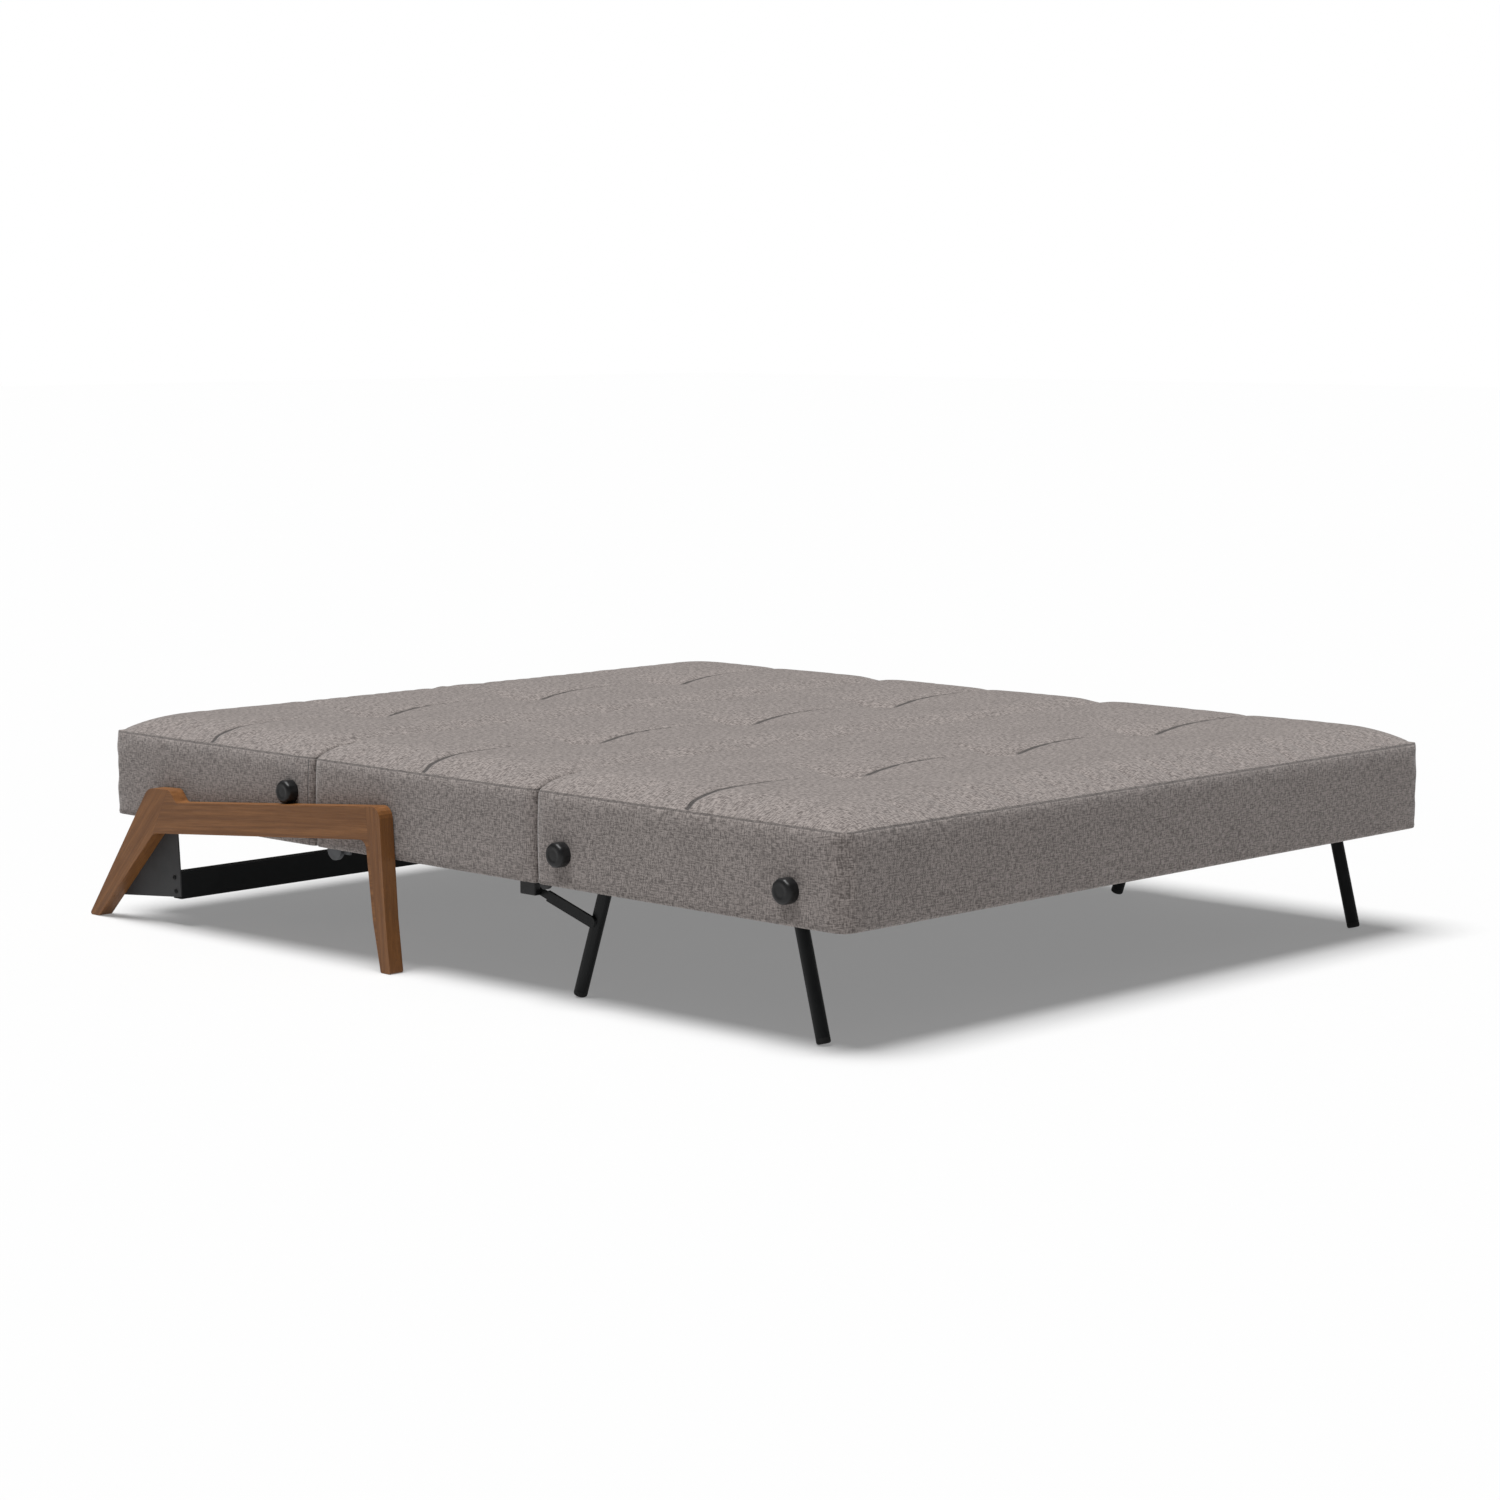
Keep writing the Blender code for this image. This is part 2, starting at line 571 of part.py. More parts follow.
def make_hinge_blocks():
    """Blocks under the seat's front tube that carry the stay links."""
    centre = (LINK_V, LINK_Z)
    for label, side in SIDES:
        block = box(f"hinge_block_{label}", side_span(side, *BLOCK_U), BLOCK_V,
                    (BLOCK_LOW, TUBE_HEIGHT - TUBE_RADIUS - FIT), BLACK_PLASTIC, bevel=0.002)
        ends = side_span(side, BLOCK_U[1] - 0.004, LINK_DEPTH + LINK_THICK + 0.002)
        stud = rod(f"hinge_block_stud_{label}", (ends[0], *centre), (ends[1], *centre), 0.004, sides=16)
        join(block, stud)


def make_back_frame():
    """The tube that turns on the knobs' spindles, the rails that hang on it, and the head tube."""
    pivot_end = RAIL_DEPTH + 0.0085 + RUNNING
    pivot = cross_tube("back_pivot_tube", RECLINE_V, RECLINE_Z, pivot_end, BLACK_STEEL)
    rail_start = RECLINE_V + 0.0233
    lug_low = RAIL_LOW + 0.001
    for label, side in SIDES:
        depth = RAIL_DEPTH + RAIL_WIDTH + FIT
        span = side_span(side, depth + 0.014, depth + 0.032)
        lug = box(f"back_lug_{label}", span, (RECLINE_V - 0.0105, RECLINE_V + 0.0105),
                  (lug_low, RECLINE_Z - TUBE_BORE - 0.0005))
        join(pivot, lug)
        foot = box(f"back_lug_foot_{label}", side_span(side, depth, depth + 0.031),
                   (RECLINE_V - 0.0095, rail_start + 0.030), (lug_low, RAIL_LOW + RAIL_TALL - 0.001))
        join(pivot, foot)
    cross_tube("back_head_tube", BACK_TUBE_HEAD, TUBE_HEIGHT, SKIRT + 0.0015, BLACK_STEEL)
    side_rails("back", (rail_start, BACK_TUBE_HEAD - TUBE_RADIUS - FIT))
    support_panel("back", (rail_start + 0.002, BACK_TUBE_HEAD + 0.03))


# ---- knobs --------------------------------------------------------------------------------------
def knob(name, side, v, z):
    """A round knob outside the mattress side, with the spindle that holds it."""
    face = KNOB_REACH
    edge = arc((KNOB_RADIUS - KNOB_EDGE, face - KNOB_EDGE), KNOB_EDGE, 90, 0, 4)
    inner = 0.0005
    profile = [(0, face)] + edge + [(KNOB_RADIUS, inner), (SPINDLE_RADIUS, inner),
                                    (SPINDLE_RADIUS, -SPINDLE_END), (0, -SPINDLE_END)]
    made = turned(name, profile, BLACK_PLASTIC)
    made.location = at(side * HALF, v, z)
    made.rotation_euler = (0, side * pi / 2, 0)


def make_knobs():
    for label, side in SIDES:
        knob(f"pivot_knob_{label}", side, RECLINE_V, RECLINE_Z)
        knob(f"hinge_knob_{label}", side, FOOT_TUBE_HINGE, TUBE_HEIGHT)
        knob(f"end_knob_{label}", side, FOOT_TUBE_END, TUBE_HEIGHT)


# ---- folding legs -------------------------------------------------------------------------------
def leg_pair(prefix, pivot_v, slant, tube_v):
    """Two round legs on one axle, their rubber caps, and the brackets that hold the axle."""
    lean = radians(slant)
    down = (sin(lean), -cos(lean))
    rim = (LEG_RADIUS - CAP_EDGE) * sin(abs(lean))
    length = CAP_EDGE + (LEG_Z - CAP_EDGE - rim) / cos(lean)
    tube_end = length - CAP_TALL - FIT
    for label, side in SIDES:
        x = side * (HALF - LEG_DEPTH)
        top = (x, pivot_v - down[0] * LEG_TOP, LEG_Z - down[1] * LEG_TOP)
        low = (x, pivot_v + down[0] * tube_end, LEG_Z + down[1] * tube_end)
        round_tube(f"{prefix}_leg_{label}", top, low, LEG_RADIUS, LEG_WALL, BLACK_STEEL)
        cap = rubber_cap(f"{prefix}_leg_foot_{label}")
        cap.location = at(x, pivot_v + down[0] * length, LEG_Z + down[1] * length)
        cap.rotation_euler = (lean, 0, 0)
    reach = HALF - LEG_DEPTH - LEG_RADIUS - FIT
    rod(f"{prefix}_leg_axle", (-reach, pivot_v, LEG_Z), (reach, pivot_v, LEG_Z), AXLE_RADIUS,
        BLACK_STEEL, 16)
    pivot = (pivot_v, LEG_Z)
    hanger = hub_strip([pivot, towards(pivot, (tube_v, TUBE_HEIGHT), TUBE_RADIUS + FIT)], 0.009, 0.012)
    for label, side in SIDES:
        plate(f"{prefix}_leg_bracket_{label}", hanger,
              side_span(side, BRACKET_DEPTH, BRACKET_DEPTH + BRACKET_THICK), GREY_STEEL,
              holes=[(pivot, AXLE_RADIUS + FIT)])


def rubber_cap(name):
    """A rubber cap flush with the leg, its plug inside the tube, its origin at its flat end."""
    plug = LEG_RADIUS - LEG_WALL - FIT
    profile = [(0, CAP_TALL + PLUG_TALL), (plug, CAP_TALL + PLUG_TALL), (plug, CAP_TALL),
               (LEG_RADIUS, CAP_TALL)]
    profile += arc((LEG_RADIUS - CAP_EDGE, CAP_EDGE), CAP_EDGE, 0, -90, 4) + [(0, 0)]
    return turned(name, profile, RUBBER)


def make_legs():
    leg_pair("mid", MID_LEG_V, MID_LEG_SLANT, FOOT_TUBE_HINGE)
    leg_pair("foot", FOOT_LEG_V, FOOT_LEG_SLANT, FOOT_TUBE_END)


def make_stay_links():
    """Flat links from the hinge blocks to the mid legs; the leg's end is free, with clearance."""
    slant = radians(MID_LEG_SLANT)
    on_leg = (MID_LEG_V + LINK_ON_LEG * sin(slant), LEG_Z - LINK_ON_LEG * cos(slant))
    pivot = (LINK_V, LINK_Z)
    reach = hypot(on_leg[0] - pivot[0], on_leg[1] - pivot[1])
    narrow = towards(pivot, on_leg, reach - 0.034)
    outline = hub_strip([pivot, narrow], 0.0065, 0.0085)
    wide = strip([on_leg, towards(on_leg, pivot, 0.030)], LINK_HALF)
    for label, side in SIDES:
        span = side_span(side, LINK_DEPTH, LINK_DEPTH + LINK_THICK)
        link = as_mesh(plate(f"stay_link_{label}", wide, span, BLACK_STEEL))
        neck = as_mesh(plate(f"stay_link_neck_{label}", outline, span, holes=[(pivot, 0.004 + FIT)]))
        join(link, neck)


# ---- base ---------------------------------------------------------------------------------------
def make_side_frames():
    """Wooden side frames: a sloping rail with a hump at its rear end, on two splayed legs."""
    front_v, front_z = RAIL_TOP_FRONT
    shoulder_v, shoulder_z = REAR_SHOULDER
    dip_v = shoulder_v - 0.0905
    dip_z = front_z + RAIL_SLOPE * (dip_v - front_v)
    corners = [
        (FRONT_FOOT, 0.0, FLOOR_EDGE), (FRONT_FOOT + 0.027, 0.0, FLOOR_EDGE),
        (FRONT_FOOT + 0.048, UNDERSIDE - 0.109, 0.20), (FRONT_FOOT + 0.066, UNDERSIDE + 0.0385, 0.018),
        (REAR_FOOT - 0.220, UNDERSIDE - 0.018, 0.020), (REAR_FOOT - 0.031, 0.0, FLOOR_EDGE),
        (REAR_FOOT, 0.0, FLOOR_EDGE), (shoulder_v, shoulder_z, 0.030),
        (shoulder_v - 0.0690, shoulder_z + 0.003, 0.015), (dip_v, dip_z, 0.010),
        (front_v, front_z, 0.022), (FRONT_FOOT + 0.012, UNDERSIDE - 0.104, 0.20),
    ]
    outline = filleted(corners)
    for label, side in SIDES:
        plate(f"side_frame_{label}", outline, side_span(side, -SIDE_GAP - WOOD_THICK, -SIDE_GAP), WALNUT,
              edge=WOOD_EDGE)


def make_gussets():
    """Steel plates inside the rear legs, the beam between them, and shelves for the back."""
    top = UNDERSIDE - 0.0005
    outline = filleted([
        (BEAM_V - 0.003, BEAM_LOW + 0.005, 0.003), (BEAM_V + 0.199, BEAM_LOW - 0.013, 0.003),
        (BEAM_V + 0.213, BEAM_LOW - 0.004, 0.004), (BEAM_V + 0.105, UNDERSIDE - 0.020, 0.01),
        (BEAM_V + 0.093, top, 0.004), (BEAM_V + 0.006, top, 0.003),
        (BEAM_V - 0.001, BEAM_LOW + 0.057, 0.02),
    ], 3)
    beam = (BEAM_LOW, BEAM_LOW + BEAM_TALL)
    beam_reach = HALF + GUSSET_OUT - GUSSET_THICK - FIT
    for label, side in SIDES:
        span = side_span(side, -GUSSET_OUT, -GUSSET_OUT + GUSSET_THICK)
        plate(f"gusset_{label}", outline, span, GREY_STEEL)
        shelf = side_span(side, -GUSSET_OUT + GUSSET_THICK + FIT, SHELF_WIDE)
        box(f"rest_shelf_{label}", shelf, SHELF_V, (top - SHELF_THICK, top), RUBBER, bevel=0.001)
    box_tube("rear_beam", (-beam_reach, beam_reach), (BEAM_V, BEAM_V + BEAM_DEEP), beam, BEAM_WALL, 0,
             BLACK_STEEL)


def main():
    make_mattress()
    make_foot_frame()
    make_seat_frame()
    make_back_frame()
    make_knobs()
    make_legs()
    make_stay_links()
    make_side_frames()
    make_gussets()


clear_scene()
PARTS = make_collection("futon_sofa_bed")
CUTTERS = make_collection("cutters")
main()
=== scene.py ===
"""Fold-out futon sofa bed laid flat: quilted sections, steel frame, folding legs, walnut side frames."""

import json
import logging
import math
from dataclasses import dataclass
from enum import Enum
from typing import Iterable, Optional

import bpy
import numpy as np
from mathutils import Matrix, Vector


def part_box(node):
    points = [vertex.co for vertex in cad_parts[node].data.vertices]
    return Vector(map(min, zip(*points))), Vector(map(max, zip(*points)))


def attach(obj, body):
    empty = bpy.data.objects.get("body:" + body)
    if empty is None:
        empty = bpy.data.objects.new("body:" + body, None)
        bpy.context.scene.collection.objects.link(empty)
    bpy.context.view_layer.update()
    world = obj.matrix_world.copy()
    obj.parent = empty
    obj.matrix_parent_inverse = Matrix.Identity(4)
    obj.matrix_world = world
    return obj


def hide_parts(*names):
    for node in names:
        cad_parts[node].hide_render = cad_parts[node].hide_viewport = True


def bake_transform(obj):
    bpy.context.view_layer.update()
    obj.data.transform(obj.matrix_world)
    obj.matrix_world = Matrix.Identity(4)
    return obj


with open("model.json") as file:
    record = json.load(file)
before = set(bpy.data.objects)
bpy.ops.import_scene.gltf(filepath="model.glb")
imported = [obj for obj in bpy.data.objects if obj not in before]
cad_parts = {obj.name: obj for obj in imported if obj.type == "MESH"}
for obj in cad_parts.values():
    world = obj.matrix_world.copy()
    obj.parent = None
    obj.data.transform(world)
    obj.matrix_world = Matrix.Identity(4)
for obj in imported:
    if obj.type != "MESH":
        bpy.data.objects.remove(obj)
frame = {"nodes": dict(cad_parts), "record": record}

log = logging.getLogger("futon")
Point = tuple[float, float, float]
Colour = tuple[float, float, float]
TOUCHING = 1e-5
SWELL_STEPS = 20


class Side(Enum):
    """The two long sides of the bed, as the sign of X."""

    LEFT = -1
    RIGHT = 1

    @property
    def label(self) -> str:
        """The word used in the names of pieces."""
        return self.name.lower()


# ---- helpers on meshes --------------------------------------------------------------------------
def deselect() -> None:
    """Leaves edit mode and deselects every object."""
    if bpy.context.object and bpy.context.object.mode != "OBJECT":
        bpy.ops.object.mode_set(mode="OBJECT")
    bpy.ops.object.select_all(action="DESELECT")


def only(piece: bpy.types.Object) -> None:
    """Makes one object the active and only selected one.

    Args:
        piece: The object to work on.
    """
    deselect()
    piece.select_set(True)
    bpy.context.view_layer.objects.active = piece


def settle(piece: bpy.types.Object) -> None:
    """Puts a piece's place, turn and scale into its mesh.

    Args:
        piece: A mesh object.
    """
    only(piece)
    bpy.ops.object.transform_apply(location=True, rotation=True, scale=True)


def apply(piece: bpy.types.Object) -> None:
    """Applies every modifier of a piece, in order.

    Args:
        piece: A mesh object with modifiers.
    """
    only(piece)
    for modifier in list(piece.modifiers):
        bpy.ops.object.modifier_apply(modifier=modifier.name)


def rows(items: bpy.types.bpy_prop_collection, key: str) -> np.ndarray:
    """A three-part value of each vertex or face of a mesh.

    Args:
        items: The vertices or the faces.
        key: The value's name.

    Returns:
        One row each.
    """
    found = np.empty(len(items) * 3)
    items.foreach_get(key, found)
    return found.reshape(-1, 3)


def move_to(piece: bpy.types.Object, places: np.ndarray) -> None:
    """Writes vertex places back into a piece.

    Args:
        piece: A mesh object.
        places: One row of X, Y, Z for each vertex.
    """
    piece.data.vertices.foreach_set("co", places.astype(np.float64).ravel())
    piece.data.update()


def write_flat_uv(piece: bpy.types.Object) -> None:
    """Lays each face flat on the plane that it faces most, in metres, so that cloth keeps its scale.

    Args:
        piece: A mesh object.
    """
    mesh = piece.data
    places = rows(mesh.vertices, "co")
    totals = np.empty(len(mesh.polygons), np.int32)
    mesh.polygons.foreach_get("loop_total", totals)
    facing = np.abs(rows(mesh.polygons, "normal")) * np.array([1.0, 1.0, 0.9])
    main = np.repeat(facing.argmax(1), totals)
    corner = np.empty(len(mesh.loops), np.int32)
    mesh.loops.foreach_get("vertex_index", corner)
    at = places[corner]
    across = np.where(main == 0, at[:, 1], at[:, 0])
    up = np.where(main == 2, at[:, 1], at[:, 2])
    layer = mesh.uv_layers.get("cloth") or mesh.uv_layers.new(name="cloth")
    layer.data.foreach_set("uv", np.stack([across, up], 1).astype(np.float32).ravel())


def write_attribute(piece: bpy.types.Object, name: str, values: np.ndarray) -> None:
    """Keeps one number for each vertex of a piece, for its material to read.

    Args:
        piece: A mesh object.
        name: The attribute's name.
        values: One number for each vertex.
    """
    layer = piece.data.attributes.get(name) or piece.data.attributes.new(name, "FLOAT", "POINT")
    layer.data.foreach_set("value", values.astype(np.float32))


def edit(piece: bpy.types.Object, kind: str = "FACE") -> None:
    """Opens a piece in edit mode with nothing selected.

    Args:
        piece: A mesh object.
        kind: VERT, EDGE or FACE.
    """
    only(piece)
    bpy.ops.object.mode_set(mode="EDIT")
    bpy.ops.mesh.select_mode(type=kind)
    bpy.ops.mesh.select_all(action="DESELECT")


def pick_end(piece: bpy.types.Object, x: float, kind: str) -> None:
    """Selects a part's end across X, while the part is in edit mode.

    Args:
        piece: The piece being edited.
        x: Where the end is.
        kind: EDGE for its rim, FACE for its face.
    """
    bpy.ops.mesh.select_mode(type=kind)
    bpy.ops.mesh.select_all(action="DESELECT")
    bpy.ops.object.mode_set(mode="OBJECT")
    mesh = piece.data
    for item in mesh.polygons if kind == "FACE" else mesh.edges:
        item.select = all(abs(mesh.vertices[index].co.x - x) < TOUCHING for index in item.vertices)
    bpy.ops.object.mode_set(mode="EDIT")


def close_edit(piece: bpy.types.Object, sharp: float = 40.0) -> None:
    """Turns a small turned part's faces outward, leaves edit mode and smooths its round faces.

    Args:
        piece: The piece being edited.
        sharp: Angle in degrees above which an edge stays sharp.
    """
    bpy.ops.mesh.select_all(action="SELECT")
    bpy.ops.mesh.normals_make_consistent(inside=False)
    bpy.ops.object.mode_set(mode="OBJECT")
    only(piece)
    bpy.ops.object.shade_smooth_by_angle(angle=math.radians(sharp))


def block(low: Iterable[float], high: Iterable[float], name: str) -> bpy.types.Object:
    """A box between two corners, to be shaped or to cut with.

    Args:
        low: Lowest corner.
        high: Highest corner.
        name: Its name.

    Returns:
        The new object, with its place in its mesh.
    """
    deselect()
    low, high = Vector(low), Vector(high)
    bpy.ops.mesh.primitive_cube_add(size=1.0, location=(low + high) / 2)
    made = bpy.context.object
    made.name = made.data.name = name
    made.scale = high - low
    settle(made)
    return made


def rod(start: Iterable[float], end: Iterable[float], radius: float, name: str,
        sides: int = 32) -> bpy.types.Object:
    """A round bar from one point to another.

    Args:
        start: Centre of one end.
        end: Centre of the other end.
        radius: Radius in metres.
        name: Its name.
        sides: Facets round it.

    Returns:
        The new object, with its place in its mesh.
    """
    deselect()
    start, end = Vector(start), Vector(end)
    turn = Vector((0, 0, 1)).rotation_difference(end - start).to_euler()
    bpy.ops.mesh.primitive_cylinder_add(vertices=sides, radius=radius, depth=(end - start).length,
                                        location=(start + end) / 2, rotation=turn)
    made = bpy.context.object
    made.name = made.data.name = name
    settle(made)
    return made


def carve(piece: bpy.types.Object, cutters: Iterable[bpy.types.Object]) -> None:
    """Takes the cutters' shapes out of a piece and removes the cutters.

    Args:
        piece: The piece to cut.
        cutters: Closed objects.
    """
    for cutter in cutters:
        cut = piece.modifiers.new("cut", "BOOLEAN")
        cut.operation = "DIFFERENCE"
        cut.solver = "MANIFOLD"
        cut.object = cutter
        apply(piece)
        bpy.data.objects.remove(cutter, do_unlink=True)


# ---- helpers on materials -----------------------------------------------------------------------
class NodeSheet:
    """A material's node tree, with short calls for the nodes that the finishes share."""

    def __init__(self, name: str) -> None:
        """Starts an empty material.

        Args:
            name: The material's name.
        """
        self.material = bpy.data.materials.new(name)
        self.material.use_nodes = True
        self.tree = self.material.node_tree
        self.shader = self.tree.nodes["Principled BSDF"]

    def add(self, kind: str, **settings: object) -> bpy.types.Node:
        """Adds a node and sets its properties.

        Args:
            kind: The node's type.
            settings: Properties by name.

        Returns:
            The new node.
        """
        node = self.tree.nodes.new(kind)
        for key, value in settings.items():
            setattr(node, key, value)
        return node

    def put(self, node: bpy.types.Node, socket: str | int, value: object) -> None:
        """Links an output to an input, or sets the input to a constant.

        Args:
            node: The node with the input.
            socket: The input's name or number.
            value: An output socket or a constant.
        """
        target = node.inputs[socket]
        if isinstance(value, bpy.types.NodeSocket):
            self.tree.links.new(value, target)
        else:
            target.default_value = value

    def maths(self, kind: str, *values: object, clamp: bool = False) -> bpy.types.NodeSocket:
        """One step of arithmetic.

        Args:
            kind: The operation.
            values: Its inputs, sockets or numbers.
            clamp: Whether the result stays from 0 to 1.

        Returns:
            The result.
        """
        node = self.add("ShaderNodeMath", operation=kind, use_clamp=clamp)
        for index, value in enumerate(values):
            self.put(node, index, value)
        return node.outputs[0]

    def noise(self, vector: bpy.types.NodeSocket, stretch: Point, detail: float = 2.0,
              roughness: float = 0.5) -> bpy.types.NodeSocket:
        """Soft noise, with a cell size along each direction.

        Args:
            vector: The coordinates.
            stretch: Cell sizes in metres.
            detail: Octaves.
            roughness: Strength of the finer octaves.

        Returns:
            The noise, about 0.5.
        """
        mapping = self.add("ShaderNodeMapping")
        self.put(mapping, "Vector", vector)
        self.put(mapping, "Scale", tuple(1 / size for size in stretch))
        node = self.add("ShaderNodeTexNoise")
        self.put(node, "Vector", mapping.outputs[0])
        self.put(node, "Scale", 1.0)
        self.put(node, "Detail", detail)
        self.put(node, "Roughness", roughness)
        return node.outputs["Fac"]

    def mix(self, share: object, first: object, second: object, kind: str = "RGBA") -> bpy.types.NodeSocket:
        """Blends two colours, or two sets of coordinates.

        Args:
            share: How much of the second.
            first: A colour or a socket.
            second: A colour or a socket.
            kind: RGBA or VECTOR.

        Returns:
            The blend.
        """
        node = self.add("ShaderNodeMix", data_type=kind)
        self.put(node, "Factor", share)
        for name, value in (("A", first), ("B", second)):
            target = [s for s in node.inputs if s.name == name and s.type == kind][0]
            if isinstance(value, bpy.types.NodeSocket):
                self.tree.links.new(value, target)
            else:
                target.default_value = (*value, 1.0)
        return [s for s in node.outputs if s.type == kind][0]

    def spread(self, value: object, low: float, high: float, to_low: float = 0.0,
               to_high: float = 1.0) -> bpy.types.NodeSocket:
        """Stretches a range of values onto another, softly and clamped.

        Args:
            value: The input.
            low: Start of the range.
            high: End of the range.
            to_low: What the start becomes.
            to_high: What the end becomes.

        Returns:
            The result.
        """
        node = self.add("ShaderNodeMapRange", interpolation_type="SMOOTHSTEP")
        for index, number in enumerate((value, low, high, to_low, to_high)):
            self.put(node, index, number)
        return node.outputs[0]

    def reading(self, name: str) -> bpy.types.NodeSocket:
        """A piece's own attribute.

        Args:
            name: The attribute's name.

        Returns:
            Its value.
        """
        node = self.add("ShaderNodeAttribute", attribute_type="GEOMETRY", attribute_name=name)
        return node.outputs["Fac"]

    def object_place(self) -> bpy.types.NodeSocket:
        """Object coordinates."""
        return self.add("ShaderNodeTexCoord").outputs["Object"]

    def bump(self, height: bpy.types.NodeSocket, strength: float, distance: float,
             below: Optional[bpy.types.NodeSocket] = None) -> bpy.types.NodeSocket:
        """Turns a height into a bumped normal.

        Args:
            height: The height, 0 to 1.
            strength: Share of the full effect.
            distance: Metres from 0 to 1.
            below: A normal to build on.

        Returns:
            The normal.
        """
        node = self.add("ShaderNodeBump")
        self.put(node, "Strength", strength)
        self.put(node, "Distance", distance)
        self.put(node, "Height", height)
        if below is not None:
            self.put(node, "Normal", below)
        return node.outputs[0]


@dataclass(frozen=True)
class WovenFabric:
    """Warm grey melange cloth, with shade painted along the sewn lines where a piece's attributes say."""

    name: str = "woven_melange"
    dark: Colour = (0.104, 0.089, 0.083)
    light: Colour = (0.298, 0.262, 0.246)
    # Colour of the shade painted into the seam creases.
    line: Colour = (0.030, 0.027, 0.026)
    thread: float = 0.0024
    slub: float = 0.012
    fleck: float = 0.0048
    cloud: Point = (0.09, 0.07, 1)
    tone_range: tuple[float, float] = (0.39, 0.61)
    quilt_shade_half: float = 0.0050
    quilt_shade_dark: float = 0.85
    tuft_clear: float = 0.055
    boxing_half: float = 0.0016
    boxing_shade_dark: float = 0.50
    closing_half: float = 0.0010
    closing_shade_dark: float = 0.80

    def make(self) -> bpy.types.Material:
        """Builds the material.

        Returns:
            The fabric material.
        """
        sheet = NodeSheet(self.name)
        cloth = sheet.add("ShaderNodeUVMap", uv_map="cloth").outputs[0]
        weft = sheet.noise(cloth, (self.slub, self.thread, 1), 1.5, 0.6)
        warp = sheet.noise(cloth, (self.thread, self.slub, 1), 1.5, 0.6)
        checks = sheet.add("ShaderNodeTexChecker")
        sheet.put(checks, "Vector", cloth)
        sheet.put(checks, "Scale", 1 / self.thread)
        over = checks.outputs["Fac"]
        threads = sheet.maths("ADD", sheet.maths("MULTIPLY", weft, over),
                              sheet.maths("MULTIPLY", warp, sheet.maths("SUBTRACT", 1.0, over)))
        crossing = sheet.maths("MULTIPLY", sheet.maths("ADD", weft, warp), 0.5)
        fleck = sheet.noise(cloth, (self.fleck, self.fleck, 1), 2.0, 0.75)
        cloudy = sheet.noise(cloth, self.cloud, 3.0, 0.6)
        tone = sheet.maths("ADD", sheet.maths("MULTIPLY", threads, 0.22),
                           sheet.maths("MULTIPLY", crossing, 0.60))
        tone = sheet.maths("ADD", tone, sheet.maths("MULTIPLY", fleck, 0.13))
        tone = sheet.maths("ADD", tone, sheet.maths("MULTIPLY", cloudy, 0.06))
        tone = sheet.spread(tone, *self.tone_range)
        colour = sheet.mix(tone, self.dark, self.light)
        # Painted crease shade: darkens the cloth towards the line colour along the quilting line, the boxing
        # seam and the closing seams.
        sewn = self._sewn_lines(sheet)
        colour = sheet.mix(sewn, colour, self.line)
        sheet.put(sheet.shader, "Base Color", colour)
        sheet.put(sheet.shader, "Roughness", 0.92)
        sheet.put(sheet.shader, "Specular IOR Level", 0.25)
        sheet.put(sheet.shader, "Sheen Weight", 0.25)
        sheet.put(sheet.shader, "Sheen Roughness", 0.5)
        ridges = self._ridges(sheet, cloth)
        height = sheet.maths("ADD", sheet.maths("MULTIPLY", ridges, 0.55),
                             sheet.maths("MULTIPLY", threads, 0.45))
        normal = sheet.bump(height, 0.5, 0.0005)
        trough = sheet.maths("SUBTRACT", 1.0, sewn)
        sheet.put(sheet.shader, "Normal", sheet.bump(trough, 0.8, 0.0016, normal))
        return sheet.material

    def _ridges(self, sheet: NodeSheet, cloth: bpy.types.NodeSocket) -> bpy.types.NodeSocket:
        """The rounded backs of the threads, over and under each other."""
        parts = sheet.add("ShaderNodeSeparateXYZ")
        sheet.put(parts, 0, cloth)
        turns = 2 * math.pi / (2 * self.thread)
        along = sheet.maths("SINE", sheet.maths("MULTIPLY", parts.outputs[0], turns))
        up = sheet.maths("SINE", sheet.maths("MULTIPLY", parts.outputs[1], turns))
        return sheet.maths("ADD", 0.5, sheet.maths("MULTIPLY", sheet.maths("MULTIPLY", along, up), 0.5))

    def _sewn_lines(self, sheet: NodeSheet) -> bpy.types.NodeSocket:
        """Painted shade in the creases where the cloth is sewn: the quilting line, the edges of the boxing
        and the closing seams.
        """
        def thin(distance: bpy.types.NodeSocket, half: float) -> bpy.types.NodeSocket:
            return sheet.spread(sheet.maths("ABSOLUTE", distance), half * 0.6, half * 1.5, 1.0, 0.0)

        # Painted shade along the quilting line's crease, faded out near the tufts.
        quilting = thin(sheet.reading("quilt_line"), self.quilt_shade_half)
        clear = sheet.spread(sheet.reading("tuft_distance"), self.tuft_clear * 0.6, self.tuft_clear)
        lines = sheet.maths("MULTIPLY", sheet.maths("MULTIPLY", quilting, clear), self.quilt_shade_dark)
        # Painted shade along the crease of the boxing seam at the top edge.
        boxing = thin(sheet.reading("boxing_seam"), self.boxing_half)
        boxing = sheet.maths("MULTIPLY", boxing, self.boxing_shade_dark)
        # Painted shade along the crease of the upright closing seam on the back section's sides.
        closing = thin(sheet.reading("closing_seam"), self.closing_half)
        closing = sheet.maths("MULTIPLY", closing, self.closing_shade_dark)
        return sheet.maths("MAXIMUM", sheet.maths("MAXIMUM", lines, boxing), closing, clamp=True)


